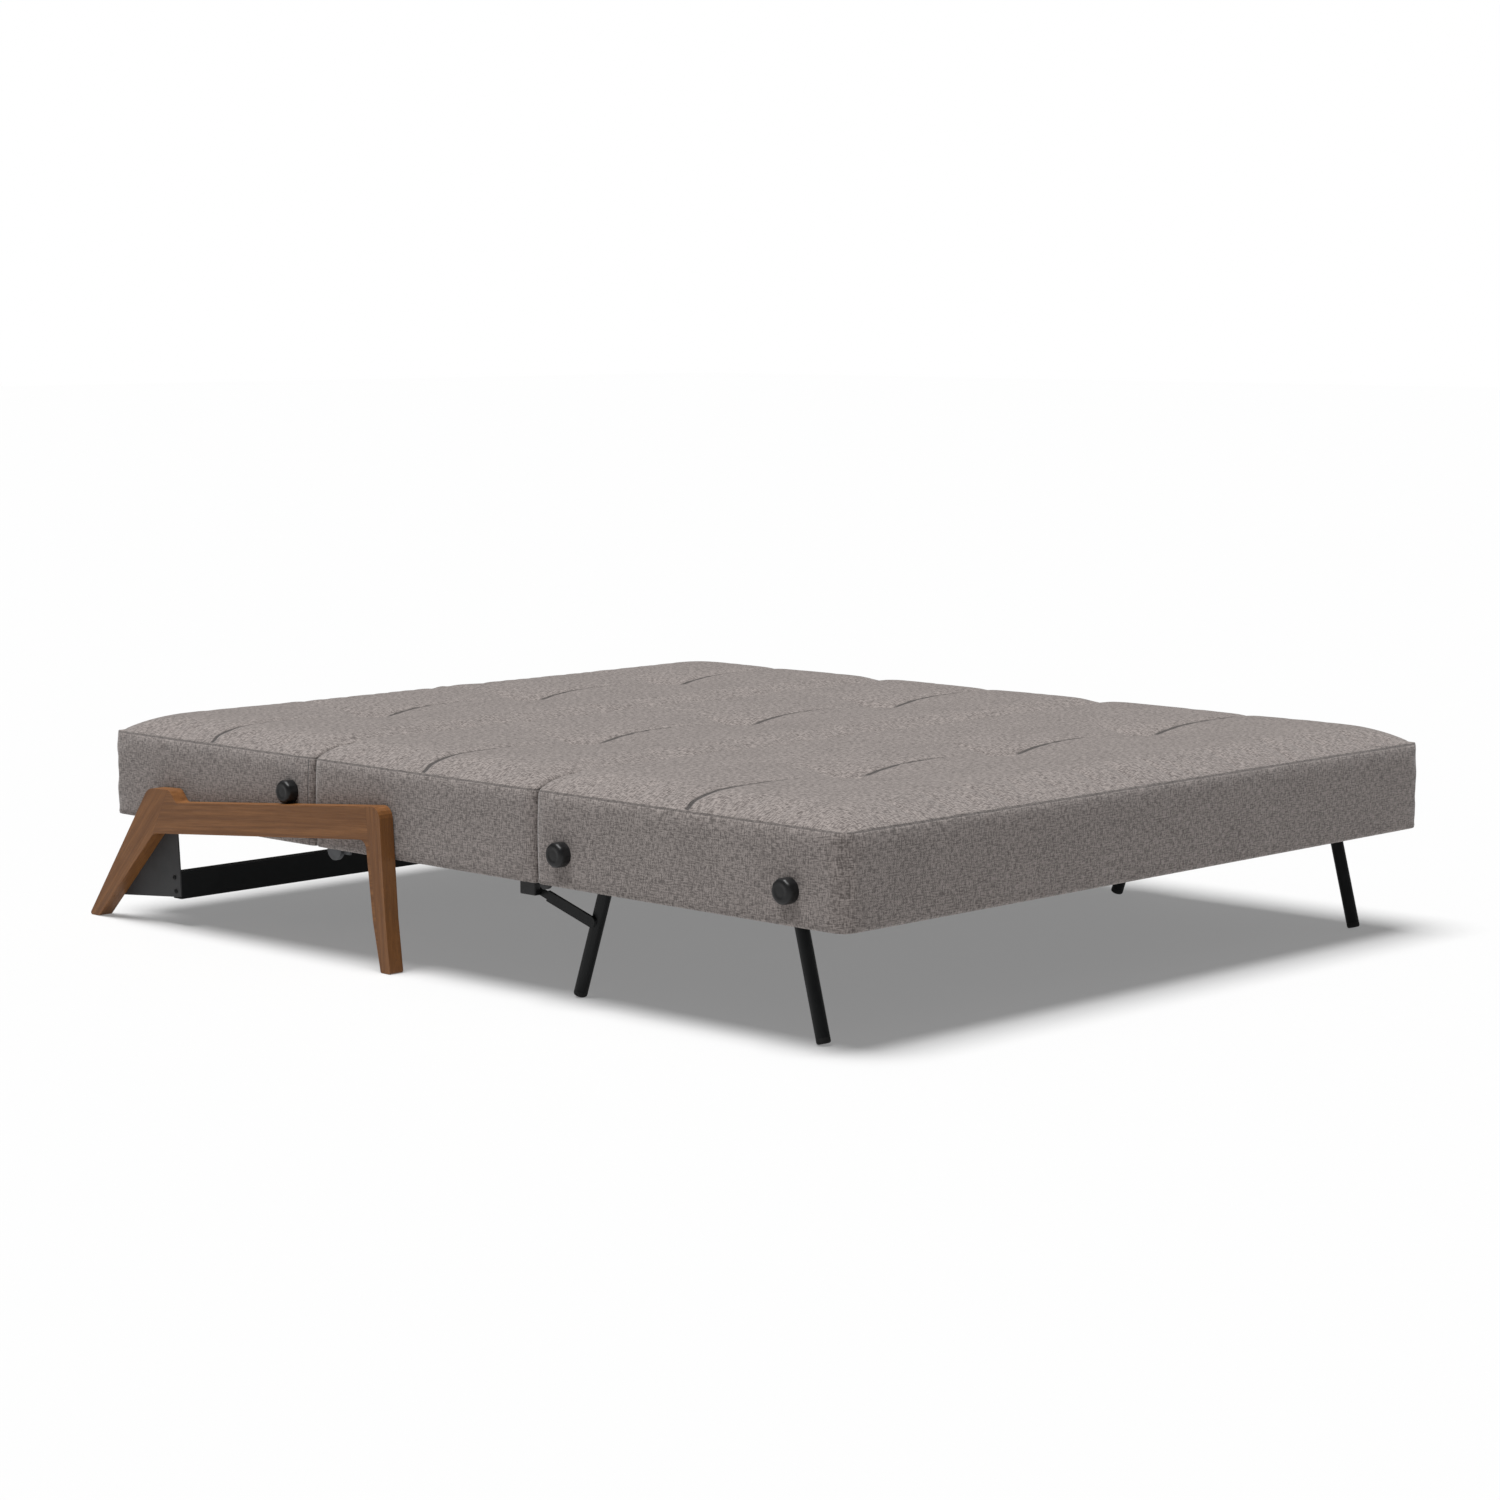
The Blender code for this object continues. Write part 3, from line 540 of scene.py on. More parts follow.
@dataclass(frozen=True)
class Walnut:
    """Satin walnut, its grain along the rail and along each leg."""

    name: str = "walnut"
    dark: Colour = (0.108, 0.040, 0.010)
    middle: Colour = (0.200, 0.080, 0.022)
    light: Colour = (0.280, 0.121, 0.037)
    front_joint: tuple[float, float] = (0.1400, 0.13)
    rear_joint: tuple[float, float] = (0.7700, -0.55)
    pore: Colour = (0.05, 0.025, 0.013)
    knee_height: float = 0.2435
    rail_grain: float = -5.0
    front_grain: float = 86.0
    rear_grain: float = -47.0

    def make(self) -> bpy.types.Material:
        """Builds the material.

        Returns:
            The wood material.
        """
        sheet = NodeSheet(self.name)
        place = sheet.object_place()
        parts = sheet.add("ShaderNodeSeparateXYZ")
        sheet.put(parts, 0, place)
        x, y, z = parts.outputs
        lift = sheet.maths("SUBTRACT", z, self.knee_height)
        front = sheet.maths("SUBTRACT", sheet.maths("MULTIPLY_ADD", lift, self.front_joint[1],
                                                    self.front_joint[0]), y)
        rear = sheet.maths("SUBTRACT", y, sheet.maths("MULTIPLY_ADD", lift, self.rear_joint[1],
                                                      self.rear_joint[0]))
        in_front = sheet.maths("GREATER_THAN", front, 0.0)
        in_rear = sheet.maths("GREATER_THAN", rear, 0.0)
        rail = self._turned(sheet, place, self.rail_grain, 0.0)
        front_leg = self._turned(sheet, place, self.front_grain, 3.1)
        rear_leg = self._turned(sheet, place, self.rear_grain, 7.7)
        grain = sheet.mix(in_front, rail, front_leg, "VECTOR")
        grain = sheet.mix(in_rear, grain, rear_leg, "VECTOR")
        rings = sheet.noise(grain, (0.020, 0.34, 0.0075), 3.0, 0.62)
        fibres = sheet.noise(grain, (0.0012, 0.055, 0.0011), 2.0, 0.6)
        pores = sheet.noise(grain, (0.0007, 0.016, 0.0007), 1.0, 0.5)
        tone = sheet.spread(rings, 0.30, 0.70)
        colour = sheet.mix(tone, self.dark, self.light)
        colour = sheet.mix(0.45, colour, self.middle)
        streak = sheet.spread(fibres, 0.35, 0.68)
        colour = sheet.mix(sheet.maths("MULTIPLY", streak, 0.42), colour, self.dark)
        pore = sheet.spread(pores, 0.64, 0.74)
        colour = sheet.mix(sheet.maths("MULTIPLY", pore, 0.55), colour, self.pore)
        joint = sheet.maths("MINIMUM", sheet.maths("ABSOLUTE", front), sheet.maths("ABSOLUTE", rear))
        line = sheet.spread(joint, 0.0003, 0.0012, 0.45, 0.0)
        colour = sheet.mix(line, colour, self.dark)
        sheet.put(sheet.shader, "Base Color", colour)
        rough = sheet.spread(fibres, 0.3, 0.7, 0.40, 0.52)
        sheet.put(sheet.shader, "Roughness", rough)
        sheet.put(sheet.shader, "Specular IOR Level", 0.32)
        height = sheet.maths("SUBTRACT", streak, sheet.maths("MULTIPLY", pore, 1.4))
        sheet.put(sheet.shader, "Normal", sheet.bump(height, 0.35, 0.00025))
        return sheet.material

    def _turned(self, sheet: NodeSheet, place: bpy.types.NodeSocket, degrees: float,
                shift: float) -> bpy.types.NodeSocket:
        """Object coordinates with the second one along a grain direction in the side's plane."""
        mapping = sheet.add("ShaderNodeMapping", vector_type="TEXTURE")
        sheet.put(mapping, "Vector", place)
        sheet.put(mapping, "Rotation", (math.radians(degrees), 0.0, 0.0))
        sheet.put(mapping, "Location", (shift, 0.0, shift))
        return mapping.outputs[0]


@dataclass(frozen=True)
class PowderCoat:
    """Painted steel with the fine orange-peel of a baked powder coat."""

    name: str
    colour: Colour
    roughness: float

    def make(self) -> bpy.types.Material:
        """Builds the material.

        Returns:
            The paint material.
        """
        sheet = NodeSheet(self.name)
        place = sheet.object_place()
        peel = sheet.noise(place, (0.0016, 0.0016, 0.0016), 2.0, 0.5)
        handled = sheet.noise(place, (0.06, 0.06, 0.06), 3.0, 0.6)
        tone = sheet.spread(handled, 0.3, 0.7)
        pale = tuple(min(1.0, c * 1.35 + 0.003) for c in self.colour)
        colour = sheet.mix(tone, self.colour, pale)
        sheet.put(sheet.shader, "Base Color", colour)
        sheet.put(sheet.shader, "Roughness",
                  sheet.spread(handled, 0.25, 0.75, self.roughness - 0.06, self.roughness + 0.08))
        sheet.put(sheet.shader, "Specular IOR Level", 0.2)
        sheet.put(sheet.shader, "Normal", sheet.bump(peel, 0.25, 0.0002))
        return sheet.material


@dataclass(frozen=True)
class MouldedPlastic:
    """Moulded plastic or rubber with a fine spark-eroded grain."""

    name: str
    colour: Colour
    roughness: float
    grain: float = 0.0006
    depth: float = 0.00012

    def make(self) -> bpy.types.Material:
        """Builds the material.

        Returns:
            The plastic material.
        """
        sheet = NodeSheet(self.name)
        place = sheet.object_place()
        fine = sheet.noise(place, (self.grain,) * 3, 2.0, 0.6)
        wide = sheet.noise(place, (0.02, 0.02, 0.02), 3.0, 0.6)
        pale = tuple(min(1.0, c * 1.4 + 0.004) for c in self.colour)
        sheet.put(sheet.shader, "Base Color", sheet.mix(sheet.spread(wide, 0.3, 0.7), self.colour, pale))
        sheet.put(sheet.shader, "Roughness",
                  sheet.spread(wide, 0.25, 0.75, self.roughness - 0.05, self.roughness + 0.07))
        sheet.put(sheet.shader, "Specular IOR Level", 0.3)
        sheet.put(sheet.shader, "Normal", sheet.bump(fine, 0.35, self.depth))
        return sheet.material


class Wardrobe:
    """Every finish of the bed, made once, by the record's slot names."""

    def __init__(self) -> None:
        """Makes the materials."""
        self.by_slot: dict[str, bpy.types.Material] = {
            "upholstery": WovenFabric().make(),
            "walnut": Walnut().make(),
            "black_steel": PowderCoat("black_powder_coat", (0.0042, 0.0048, 0.0052), 0.46).make(),
            "grey_steel": PowderCoat("grey_powder_coat", (0.036, 0.036, 0.037), 0.48).make(),
            "black_plastic": MouldedPlastic("black_plastic", (0.0060, 0.0060, 0.0064), 0.42).make(),
            "grey_plastic": MouldedPlastic("grey_plastic", (0.075, 0.077, 0.082), 0.42).make(),
            "rubber": MouldedPlastic("black_rubber", (0.011, 0.011, 0.011), 0.72, 0.0009).make(),
        }

    def dress(self, piece: bpy.types.Object, slot: str) -> None:
        """Gives a piece the finish of a slot.

        Args:
            piece: A new piece or a carried-over node.
            slot: The record's slot name.
        """
        material = self.by_slot[slot]
        if not piece.material_slots:
            piece.data.materials.append(material)
        for holder in piece.material_slots:
            holder.material = material


# ---- upholstery ---------------------------------------------------------------------------------
@dataclass
class QuiltedSection:
    """One section of the mattress: a boxed, crowned pad with three tufts on a sewn line."""

    name: str
    node: str
    body: str
    low_end_radius: float
    high_end_radius: float
    low_is_seam: bool
    high_is_seam: bool
    top_seam: float = 0.373
    underside: float = 0.205
    crown: float = 0.031
    crown_reach: float = 0.036
    seam_reach: float = 0.014
    seam_lift: float = 0.62
    tuft_offset: float = 0.42
    tuft_depth: float = 0.021
    tuft_reach: float = 0.080
    skirt: float = 0.018
    hollow: float = 0.080
    cell: float = 0.0125
    swell: float = 0.0035
    cap: float = 0.007
    fill: float = 0.85
    fullness: float = 0.05
    fullness_reach: float = 0.085
    start_inset: float = 0.0018
    rim_inset: float = 0.0022
    stitch_depth: float = 0.0006
    stitch_reach: float = 0.0070
    edge_zone: float = 0.010

    def __post_init__(self) -> None:
        """Reads the section's place from its node."""
        low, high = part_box(self.node)
        self.low, self.high = np.array(low), np.array(high)
        self.middle = (self.low + self.high) / 2
        self.half = (self.high - self.low) / 2
        self.piece: Optional[bpy.types.Object] = None

    def _rise(self, x: np.ndarray, y: np.ndarray) -> np.ndarray:
        """Height of the top above the boxing seam, for offsets from the section's middle."""
        side = 1 - np.exp(-np.maximum(self.half[0] - np.abs(x), 0) / self.crown_reach)
        ends = []
        for gap, seam in ((self.half[1] + y, self.low_is_seam), (self.half[1] - y, self.high_is_seam)):
            gap = np.maximum(gap, 0)
            if seam:
                ends.append(self.seam_lift + (1 - self.seam_lift) * (1 - np.exp(-gap / self.seam_reach)))
            else:
                ends.append(1 - np.exp(-gap / self.crown_reach))
        fullness = 1 + self.fullness * (1 - np.exp(-((y / self.fullness_reach) ** 2)))
        rise = self.crown * side * ends[0] * ends[1] * fullness
        for centre in (-self.tuft_offset, 0.0, self.tuft_offset):
            away = np.hypot(x - centre, 0.85 * y)
            rise = rise - self.tuft_depth * np.exp(-((away / self.tuft_reach) ** 1.4))
        return rise

    def _shell(self) -> bpy.types.Object:
        """A block of even cells with a hollow underside left open at its ceiling, centred on the middle."""
        columns = 2 * round(self.half[0] / self.cell)
        rows = 2 * round(self.half[1] / self.cell)
        deselect()
        bpy.ops.mesh.primitive_grid_add(x_subdivisions=columns, y_subdivisions=rows, size=2.0)
        made = bpy.context.object
        made.name = made.data.name = self.name
        edit(made, "VERT")
        bpy.ops.mesh.select_all(action="SELECT")
        bpy.ops.transform.resize(value=(self.half[0], self.half[1], 1.0))
        bpy.ops.transform.translate(value=(0.0, 0.0, self.top_seam))
        bpy.ops.mesh.select_mode(type="EDGE")
        bpy.ops.mesh.select_all(action="SELECT")
        bpy.ops.mesh.region_to_loop()
        tall = self.top_seam - self.underside
        steps = round(tall / self.cell)
        for _ in range(steps):
            bpy.ops.mesh.extrude_region_move(TRANSFORM_OT_translate={"value": (0, 0, -tall / steps)})
        bpy.ops.mesh.extrude_region_move(TRANSFORM_OT_translate={"value": (0, 0, 0)})
        bpy.ops.transform.resize(value=(1 - self.skirt / self.half[0], 1 - self.skirt / self.half[1], 1),
                                 center_override=(0, 0, self.underside))
        for _ in range(4):
            bpy.ops.mesh.extrude_region_move(TRANSFORM_OT_translate={"value": (0, 0, self.hollow / 4)})
        bpy.ops.object.mode_set(mode="OBJECT")
        return made

    def _close(self) -> None:
        """Closes the ceiling of the hollow underside."""
        edit(self.piece, "EDGE")
        bpy.ops.mesh.select_non_manifold()
        bpy.ops.mesh.edge_face_add()
        bpy.ops.mesh.select_all(action="SELECT")
        bpy.ops.mesh.normals_make_consistent(inside=False)
        bpy.ops.object.mode_set(mode="OBJECT")

    def _rounded(self, x: np.ndarray, y: np.ndarray) -> tuple[np.ndarray, np.ndarray]:
        """The plan with its four upright corners rounded."""
        x, y = x.copy(), y.copy()
        for sign, radius in ((-1, self.low_end_radius), (1, self.high_end_radius)):
            for across in (-1, 1):
                a = (x * across - (self.half[0] - radius)) / radius
                b = (y * sign - (self.half[1] - radius)) / radius
                inside = (a > 0) & (b > 0)
                ra, rb = np.clip(a, 0, 1), np.clip(b, 0, 1)
                round_a, round_b = ra * np.sqrt(1 - rb ** 2 / 2), rb * np.sqrt(1 - ra ** 2 / 2)
                x = np.where(inside, across * (self.half[0] - radius + radius * round_a), x)
                y = np.where(inside, sign * (self.half[1] - radius + radius * round_b), y)
        return x, y

    def prepare(self) -> None:
        """Makes the start shape and the cloth that will swell from it."""
        piece = self._shell()
        places = rows(piece.data.vertices, "co")
        x, y, z = places.T
        on_edge = (np.abs(x) > self.half[0] - 1e-4) | (np.abs(y) > self.half[1] - 1e-4)
        top = (z > self.top_seam - 1e-5) & ~on_edge
        side = on_edge & (z > self.underside + 1e-4)
        outer = top | on_edge
        round_x, round_y = self._rounded(x, y)
        x, y = np.where(outer, round_x, x), np.where(outer, round_y, y)
        rim = on_edge & (z > self.top_seam - 1e-5)
        lifted = top | rim
        z = np.where(lifted, self.top_seam + self._rise(x, y) - np.where(top, self.swell, 0), z)
        bulge = np.sin(math.pi * np.clip((z - self.underside) / (self.top_seam - self.underside), 0, 1))
        inset = np.where(rim, self.rim_inset, np.where(side, self.start_inset * (1 - bulge), 0.0))
        x = x * (1 - inset / self.half[0])
        y = y * (1 - inset / self.half[1])
        move_to(piece, np.stack([x + self.middle[0], y + self.middle[1], z], 1))
        self._pin(piece, x, y, z, top, side, rim)
        self.piece = piece
        self.start = rows(piece.data.vertices, "co")

    def _pin(self, piece: bpy.types.Object, x: np.ndarray, y: np.ndarray, z: np.ndarray,
             top: np.ndarray, side: np.ndarray, rim: np.ndarray) -> None:
        """Holds what is sewn or stapled: the tufts, the quilting line, the seams and the underside."""
        hold = np.ones(len(x))
        hold[top | side] = 0.0
        hold[rim] = 0.92
        for at_seam, gap in ((self.low_is_seam, self.half[1] + y), (self.high_is_seam, self.half[1] - y)):
            if at_seam:
                hold[side & (gap < 0.016)] = 1.0
        line = top & (np.abs(y) < self.cell * 0.6)
        hold[line] = 0.40
        for centre in (-self.tuft_offset, 0.0, self.tuft_offset):
            hold[top & (np.hypot(x - centre, y) < self.cell * 1.1)] = 1.0
        group = piece.vertex_groups.new(name="sewn")
        for weight in np.unique(hold):
            if weight:
                group.add([int(i) for i in np.flatnonzero(hold == weight)], float(weight), "REPLACE")
        cloth = piece.modifiers.new("Cloth", "CLOTH")
        settings = cloth.settings
        settings.quality = 5
        settings.mass = 0.3
        settings.tension_stiffness = settings.compression_stiffness = 18
        settings.shear_stiffness = 6
        settings.bending_stiffness = 0.8
        settings.use_pressure = True
        settings.uniform_pressure_force = 4
        settings.shrink_min = -0.012
        settings.vertex_group_mass = "sewn"
        settings.pin_stiffness = 6
        settings.effector_weights.gravity = 0
        cloth.collision_settings.use_collision = False
        cloth.point_cache.frame_start, cloth.point_cache.frame_end = 1, SWELL_STEPS

    def inflate_done(self) -> None:
        """Keeps the swollen shape, within its cap and clear of its neighbours."""
        piece = self.piece
        apply(piece)
        places = rows(piece.data.vertices, "co")
        moved = places - self.start
        reach = np.linalg.norm(moved, axis=1, keepdims=True)
        places = self.start + moved * np.minimum(1, self.cap / np.maximum(reach, 1e-9))
        width = self.half[0] + 0.0015
        places[:, 0] = np.clip(places[:, 0], self.middle[0] - width, self.middle[0] + width)
        low = self.low[1] + (0.0002 if self.low_is_seam else -0.002)
        high = self.high[1] - (0.0002 if self.high_is_seam else -0.002)
        places[:, 1] = np.clip(places[:, 1], low, high)
        move_to(piece, places)
        piece.vertex_groups.clear()
        smooth = piece.modifiers.new("smooth", "SUBSURF")
        smooth.levels = smooth.render_levels = 1
        smooth.use_limit_surface = False
        apply(piece)
        self._close()

    def sew(self, cutters: Iterable[bpy.types.Object]) -> None:
        """Presses in the sewn lines, cuts room for the steel, and marks the cloth.

        Args:
            cutters: Room for the hardware that enters the section.
        """
        piece = self.piece
        places = rows(piece.data.vertices, "co")
        x, y, z = places.T
        local = y - self.middle[1]
        on_top = z > self.top_seam + 0.001
        away = self._tuft_distance(x, local)
        strength = np.clip((away - 0.02) / 0.04, 0, 1)
        z = z - on_top * strength * self.stitch_depth * np.exp(-((local / self.stitch_reach) ** 2))
        move_to(piece, np.stack([x, y, z], 1))
        carve(piece, cutters)
        self._mark(piece)
        write_flat_uv(piece)
        only(piece)
        bpy.ops.object.shade_smooth_by_angle(angle=math.radians(50))

    def _tuft_distance(self, x: np.ndarray, local: np.ndarray) -> np.ndarray:
        """Distance to the nearest tuft."""
        return np.min([np.hypot(x - c, local) for c in (-self.tuft_offset, 0.0, self.tuft_offset)], 0)

    def _mark(self, piece: bpy.types.Object) -> None:
        """Writes where the seams run, for the cloth's material to paint crease shade along them."""
        x, y, z = rows(piece.data.vertices, "co").T
        local = y - self.middle[1]
        far = 1.0
        top = z > self.top_seam - 0.0005
        write_attribute(piece, "quilt_line", np.where(top, local, far))
        write_attribute(piece, "tuft_distance", self._tuft_distance(x, local))
        edge_x, edge_y = self.half[:2] - self.edge_zone
        outer = (np.abs(x) > edge_x) | (np.abs(local) > edge_y)
        write_attribute(piece, "boxing_seam", np.where(outer, z - (self.top_seam - 0.0012), far))
        write_attribute(piece, "closing_seam", self._closing(x, y, z))

    def _closing(self, x: np.ndarray, y: np.ndarray, z: np.ndarray) -> np.ndarray:
        """Distance to an upright or closing seam on the boxing; far away where there is none."""
        return np.full(len(x), 1.0)

    def finish(self, wardrobe: Wardrobe) -> None:
        """Dresses the section and hands it to its body; the back section instead keeps its place in its
        mesh.

        Args:
            wardrobe: The finishes.
        """
        wardrobe.dress(self.piece, "upholstery")
        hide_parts(self.node)
        self._attach()
        log.info("%s: %d faces on %s", self.name, len(self.piece.data.polygons), self.body)

    def _attach(self) -> None:
        """Lets the section ride on its body."""
        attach(self.piece, self.body)


@dataclass
class BackSection(QuiltedSection):
    """The head section, with an upright seam beside the seat."""

    strip: float = 0.0150
    give_height: float = 0.400
    give_lean: float = -45.0
    give_reach: float = 0.115

    def _closing(self, x: np.ndarray, y: np.ndarray, z: np.ndarray) -> np.ndarray:
        """The upright seam beside the seat."""
        on_side = (np.abs(x) > self.half[0] - 0.008) & (z < self.top_seam)
        return np.where(on_side, y - (self.low[1] + self.strip), 1.0)

    def _attach(self) -> None:
        """Puts the section's place into its mesh, instead of handing it to a body."""
        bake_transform(self.piece)


class Mattress:
    """The three quilted sections."""

    clear = 0.02
    room_bottom = 0.19
    hinge_top = 0.268
    hinge_deep = (0.0180, 0.0345)
    hinge_long = 0.024
    glide_deep = (0.0385, 0.0505)
    glide_radius = 0.0212
    glide_centre = 0.0200
    tube_half = 0.0122
    tube_bottom = 0.270
    arm_deep = (0.0185, 0.0320)
    arm_rise = (0.022, 0.040)
    spindle_radius = 0.0070
    spindle_room = 0.030

    def __init__(self) -> None:
        """Sets out the sections."""
        self.foot = QuiltedSection("quilted_foot_section", "foot_cushion", "foot", 0.030, 0.008, False, True)
        self.seat = QuiltedSection("quilted_seat_section", "seat_cushion", "seat", 0.008, 0.008, True, True)
        self.back = BackSection("quilted_back_section", "back_cushion", "back", 0.008, 0.030, True, False)

    @property
    def sections(self) -> tuple[QuiltedSection, ...]:
        """The sections from the foot to the head."""
        return (self.foot, self.seat, self.back)

    def build(self, wardrobe: Wardrobe) -> None:
        """Swells, sews and dresses the sections.

        Args:
            wardrobe: The finishes.
        """
        for section in self.sections:
            section.prepare()
        for step in range(1, SWELL_STEPS + 1):
            bpy.context.scene.frame_set(step)
        for section in self.sections:
            section.inflate_done()
        bpy.context.scene.frame_set(1)
        rooms = (self._foot_rooms, self._seat_rooms, self._back_rooms)
        for section, room in zip(self.sections, rooms):
            section.sew(room())
            section.finish(wardrobe)

    def _knob_room(self, node: str, side: Side) -> bpy.types.Object:
        """Room for a knob's spindle through the boxing."""
        low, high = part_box(node)
        middle = (low + high) / 2
        outer = self.foot.half[0] + self.clear
        inner = self.foot.half[0] - self.spindle_room
        return rod((side.value * outer, middle.y, middle.z), (side.value * inner, middle.y, middle.z),
                   self.spindle_radius, "room")

    def _span(self, side: Side, deep: float, deeper: float) -> tuple[float, float]:
        """Depths in from a side of the mattress as an X span."""
        edge = self.foot.half[0]
        ends = sorted((side.value * (edge - deep), side.value * (edge - deeper)))
        return ends[0], ends[1]

    def _foot_rooms(self) -> list[bpy.types.Object]:
        """Room in the foot section."""
        found = []
        for side in Side:
            for node in ("hinge_knob", "end_knob"):
                found.append(self._knob_room(f"{node}_{side.label}", side))
            found.append(self._hinge_room(side, self.foot.high[1] - self.hinge_long,
                                          self.foot.high[1] + self.clear))
        return found

    def _hinge_room(self, side: Side, start: float, end: float) -> bpy.types.Object:
        """Room for a fold hinge or an arm under a seam."""
        span = self._span(side, *self.hinge_deep)
        return block((span[0], start, self.room_bottom), (span[1], end, self.hinge_top), "room")

    def _seat_rooms(self) -> list[bpy.types.Object]:
        """Room in the seat section for the fold hinges, the pivot arms and the glides."""
        found = []
        for side in Side:
            found.append(self._hinge_room(side, self.seat.low[1] - self.clear,
                                          self.seat.low[1] + self.hinge_long))
            found.append(self._hinge_room(side, self.seat.high[1] - self.hinge_long,
                                          self.seat.high[1] + self.clear))
            low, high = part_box(f"seat_glide_{side.label}")
            y, z = high.y - self.glide_centre, low.z + self.glide_centre
            span = self._span(side, *self.glide_deep)
            found.append(rod((span[0], y, z), (span[1], y, z), self.glide_radius, "room"))
        return found

    def _back_rooms(self) -> list[bpy.types.Object]:
        """Room in the back section for the pivot tube, the arms and the spindles."""
        low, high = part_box("pivot_knob_left")
        y, z = (low.y + high.y) / 2, (low.z + high.z) / 2
        inside = self.back.half[0] - self.arm_deep[0]
        found = [block((-inside, y - self.tube_half, self.tube_bottom),
                       (inside, y + self.tube_half, z + self.tube_half), "room")]
        for side in Side:
            found.append(self._knob_room(f"pivot_knob_{side.label}", side))
            span = self._span(side, *self.arm_deep)
            found.append(block((span[0], self.back.low[1] - self.clear, self.room_bottom),
                               (span[1], y + self.arm_rise[0], z + self.arm_rise[1]), "room"))
        return found


# ---- hardware -----------------------------------------------------------------------------------
@dataclass
class Knob:
    """A round knob that stands out of the mattress side."""

    node: str
    side: Side
    body: str
    radius: float = 0.0225
    reach: float = 0.024
    edge: float = 0.0075
    back_edge: float = 0.0012
    ring: float = 0.0030
    step: tuple[float, float] = (0.0012, -0.0006)
    dish: tuple[float, float] = (0.0035, 0.0003)
    spindle: float = 0.006
    spindle_long: float = 0.0483
    seat_gap: float = 0.0002
    grips: int = 10
    grip_depth: float = 0.0005
    grip_start: float = 0.017
    grip_fade: float = 0.005

    def build(self, wardrobe: Wardrobe) -> None:
        """Models the knob in place of its plain node.

        Args:
            wardrobe: The finishes.
        """
        low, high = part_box(self.node)
        y, z = (low.y + high.y) / 2, (low.z + high.z) / 2
        outer = high.x if self.side is Side.RIGHT else -low.x
        sign = self.side.value
        far, near = sign * outer, sign * (outer - self.reach + self.seat_gap)
        made = rod((near, y, z), (far, y, z), self.radius, f"{self.node}_cap", 80)
        edit(made, "EDGE")
        pick_end(made, far, "EDGE")
        bpy.ops.mesh.bevel(offset=self.edge, segments=6, profile=0.52, affect="EDGES")
        pick_end(made, near, "EDGE")
        bpy.ops.mesh.bevel(offset=self.back_edge, segments=2, affect="EDGES")
        pick_end(made, far, "FACE")
        for wide, deep in ((self.ring, 0.0), self.step, self.dish):
            bpy.ops.mesh.inset(thickness=wide, depth=deep)
        pick_end(made, near, "FACE")
        bpy.ops.mesh.inset(thickness=self.radius - self.back_edge - self.spindle, depth=0.0)
        bpy.ops.mesh.extrude_region_move(TRANSFORM_OT_translate={"value": (-sign * self.spindle_long, 0, 0)})
        bpy.ops.object.mode_set(mode="OBJECT")
        self._grip(made, y, z)
        edit(made)
        close_edit(made)
        wardrobe.dress(made, "black_plastic")
        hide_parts(self.node)
        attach(made, self.body)
        log.info("%s on %s", made.name, self.body)

    def _grip(self, made: bpy.types.Object, y: float, z: float) -> None:
        """Presses shallow finger flats round the knob."""
        places = rows(made.data.vertices, "co")
        dy, dz = places[:, 1] - y, places[:, 2] - z
        radius = np.hypot(dy, dz)
        turn = np.arctan2(dz, dy)
        wave = 0.5 - 0.5 * np.cos(turn * self.grips)
        share = np.clip((radius - self.grip_start) / self.grip_fade, 0, 1)
        scale = 1 - self.grip_depth * wave * share / np.maximum(radius, 1e-6)
        places[:, 1], places[:, 2] = y + dy * scale, z + dz * scale
        move_to(made, places)


@dataclass
class ButtonScrew:
    """A button-head socket screw."""

    name: str
    place: Point
    side: Side
    body: str
    slot: str = "black_steel"
    radius: float = 0.0048
    tall: float = 0.0024
    dome: float = 0.00204
    socket: float = 0.0019
    socket_deep: float = 0.0014
    socket_wall: float = 0.0001

    def build(self, wardrobe: Wardrobe) -> None:
        """Models the head standing out of a steel plate.

        Args:
            wardrobe: The finishes.
        """
        x, y, z = self.place
        top = x + self.side.value * self.tall
        made = rod((x, y, z), (top, y, z), self.radius, self.name, 32)
        edit(made, "EDGE")
        pick_end(made, top, "EDGE")
        bpy.ops.mesh.bevel(offset=self.dome, segments=4, affect="EDGES")
        pick_end(made, top, "FACE")
        bpy.ops.mesh.inset(thickness=self.radius - self.dome - self.socket, depth=0.0)
        bpy.ops.mesh.inset(thickness=self.socket_wall, depth=-self.socket_deep)
        close_edit(made)
        wardrobe.dress(made, self.slot)
        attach(made, self.body)
        log.info("%s on %s", made.name, self.body)


class Hardware:
    """Knobs and screws."""

    knobs = (("pivot_knob", "seat"), ("hinge_knob", "foot"), ("end_knob", "foot"))
    screws = ((0.776, 0.098), (0.772, 0.071))

    def build(self, wardrobe: Wardrobe) -> None:
        """Builds every knob and screw.

        Args:
            wardrobe: The finishes.
        """
        for side in Side:
            for node, body in self.knobs:
                Knob(f"{node}_{side.label}", side, body).build(wardrobe)
            low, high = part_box(f"gusset_{side.label}")
            face = high.x if side is Side.RIGHT else low.x
            for number, (y, z) in enumerate(self.screws, 1):
                name = f"gusset_screw_{side.label}_{number}"
                ButtonScrew(name, (face, y, z), side, "base").build(wardrobe)


# ---- carried-over steel, wood and plastic ---------------------------------------------------------
class CarriedOver:
    """The nodes whose shape is already right and that only take a finish."""

    def build(self, wardrobe: Wardrobe) -> None:
        """Dresses every node by its slot in the record.

        Args:
            wardrobe: The finishes.
        """
        for part in frame["record"]["subparts"]:
            wardrobe.dress(frame["nodes"][part["node"]], part["material_slot"])


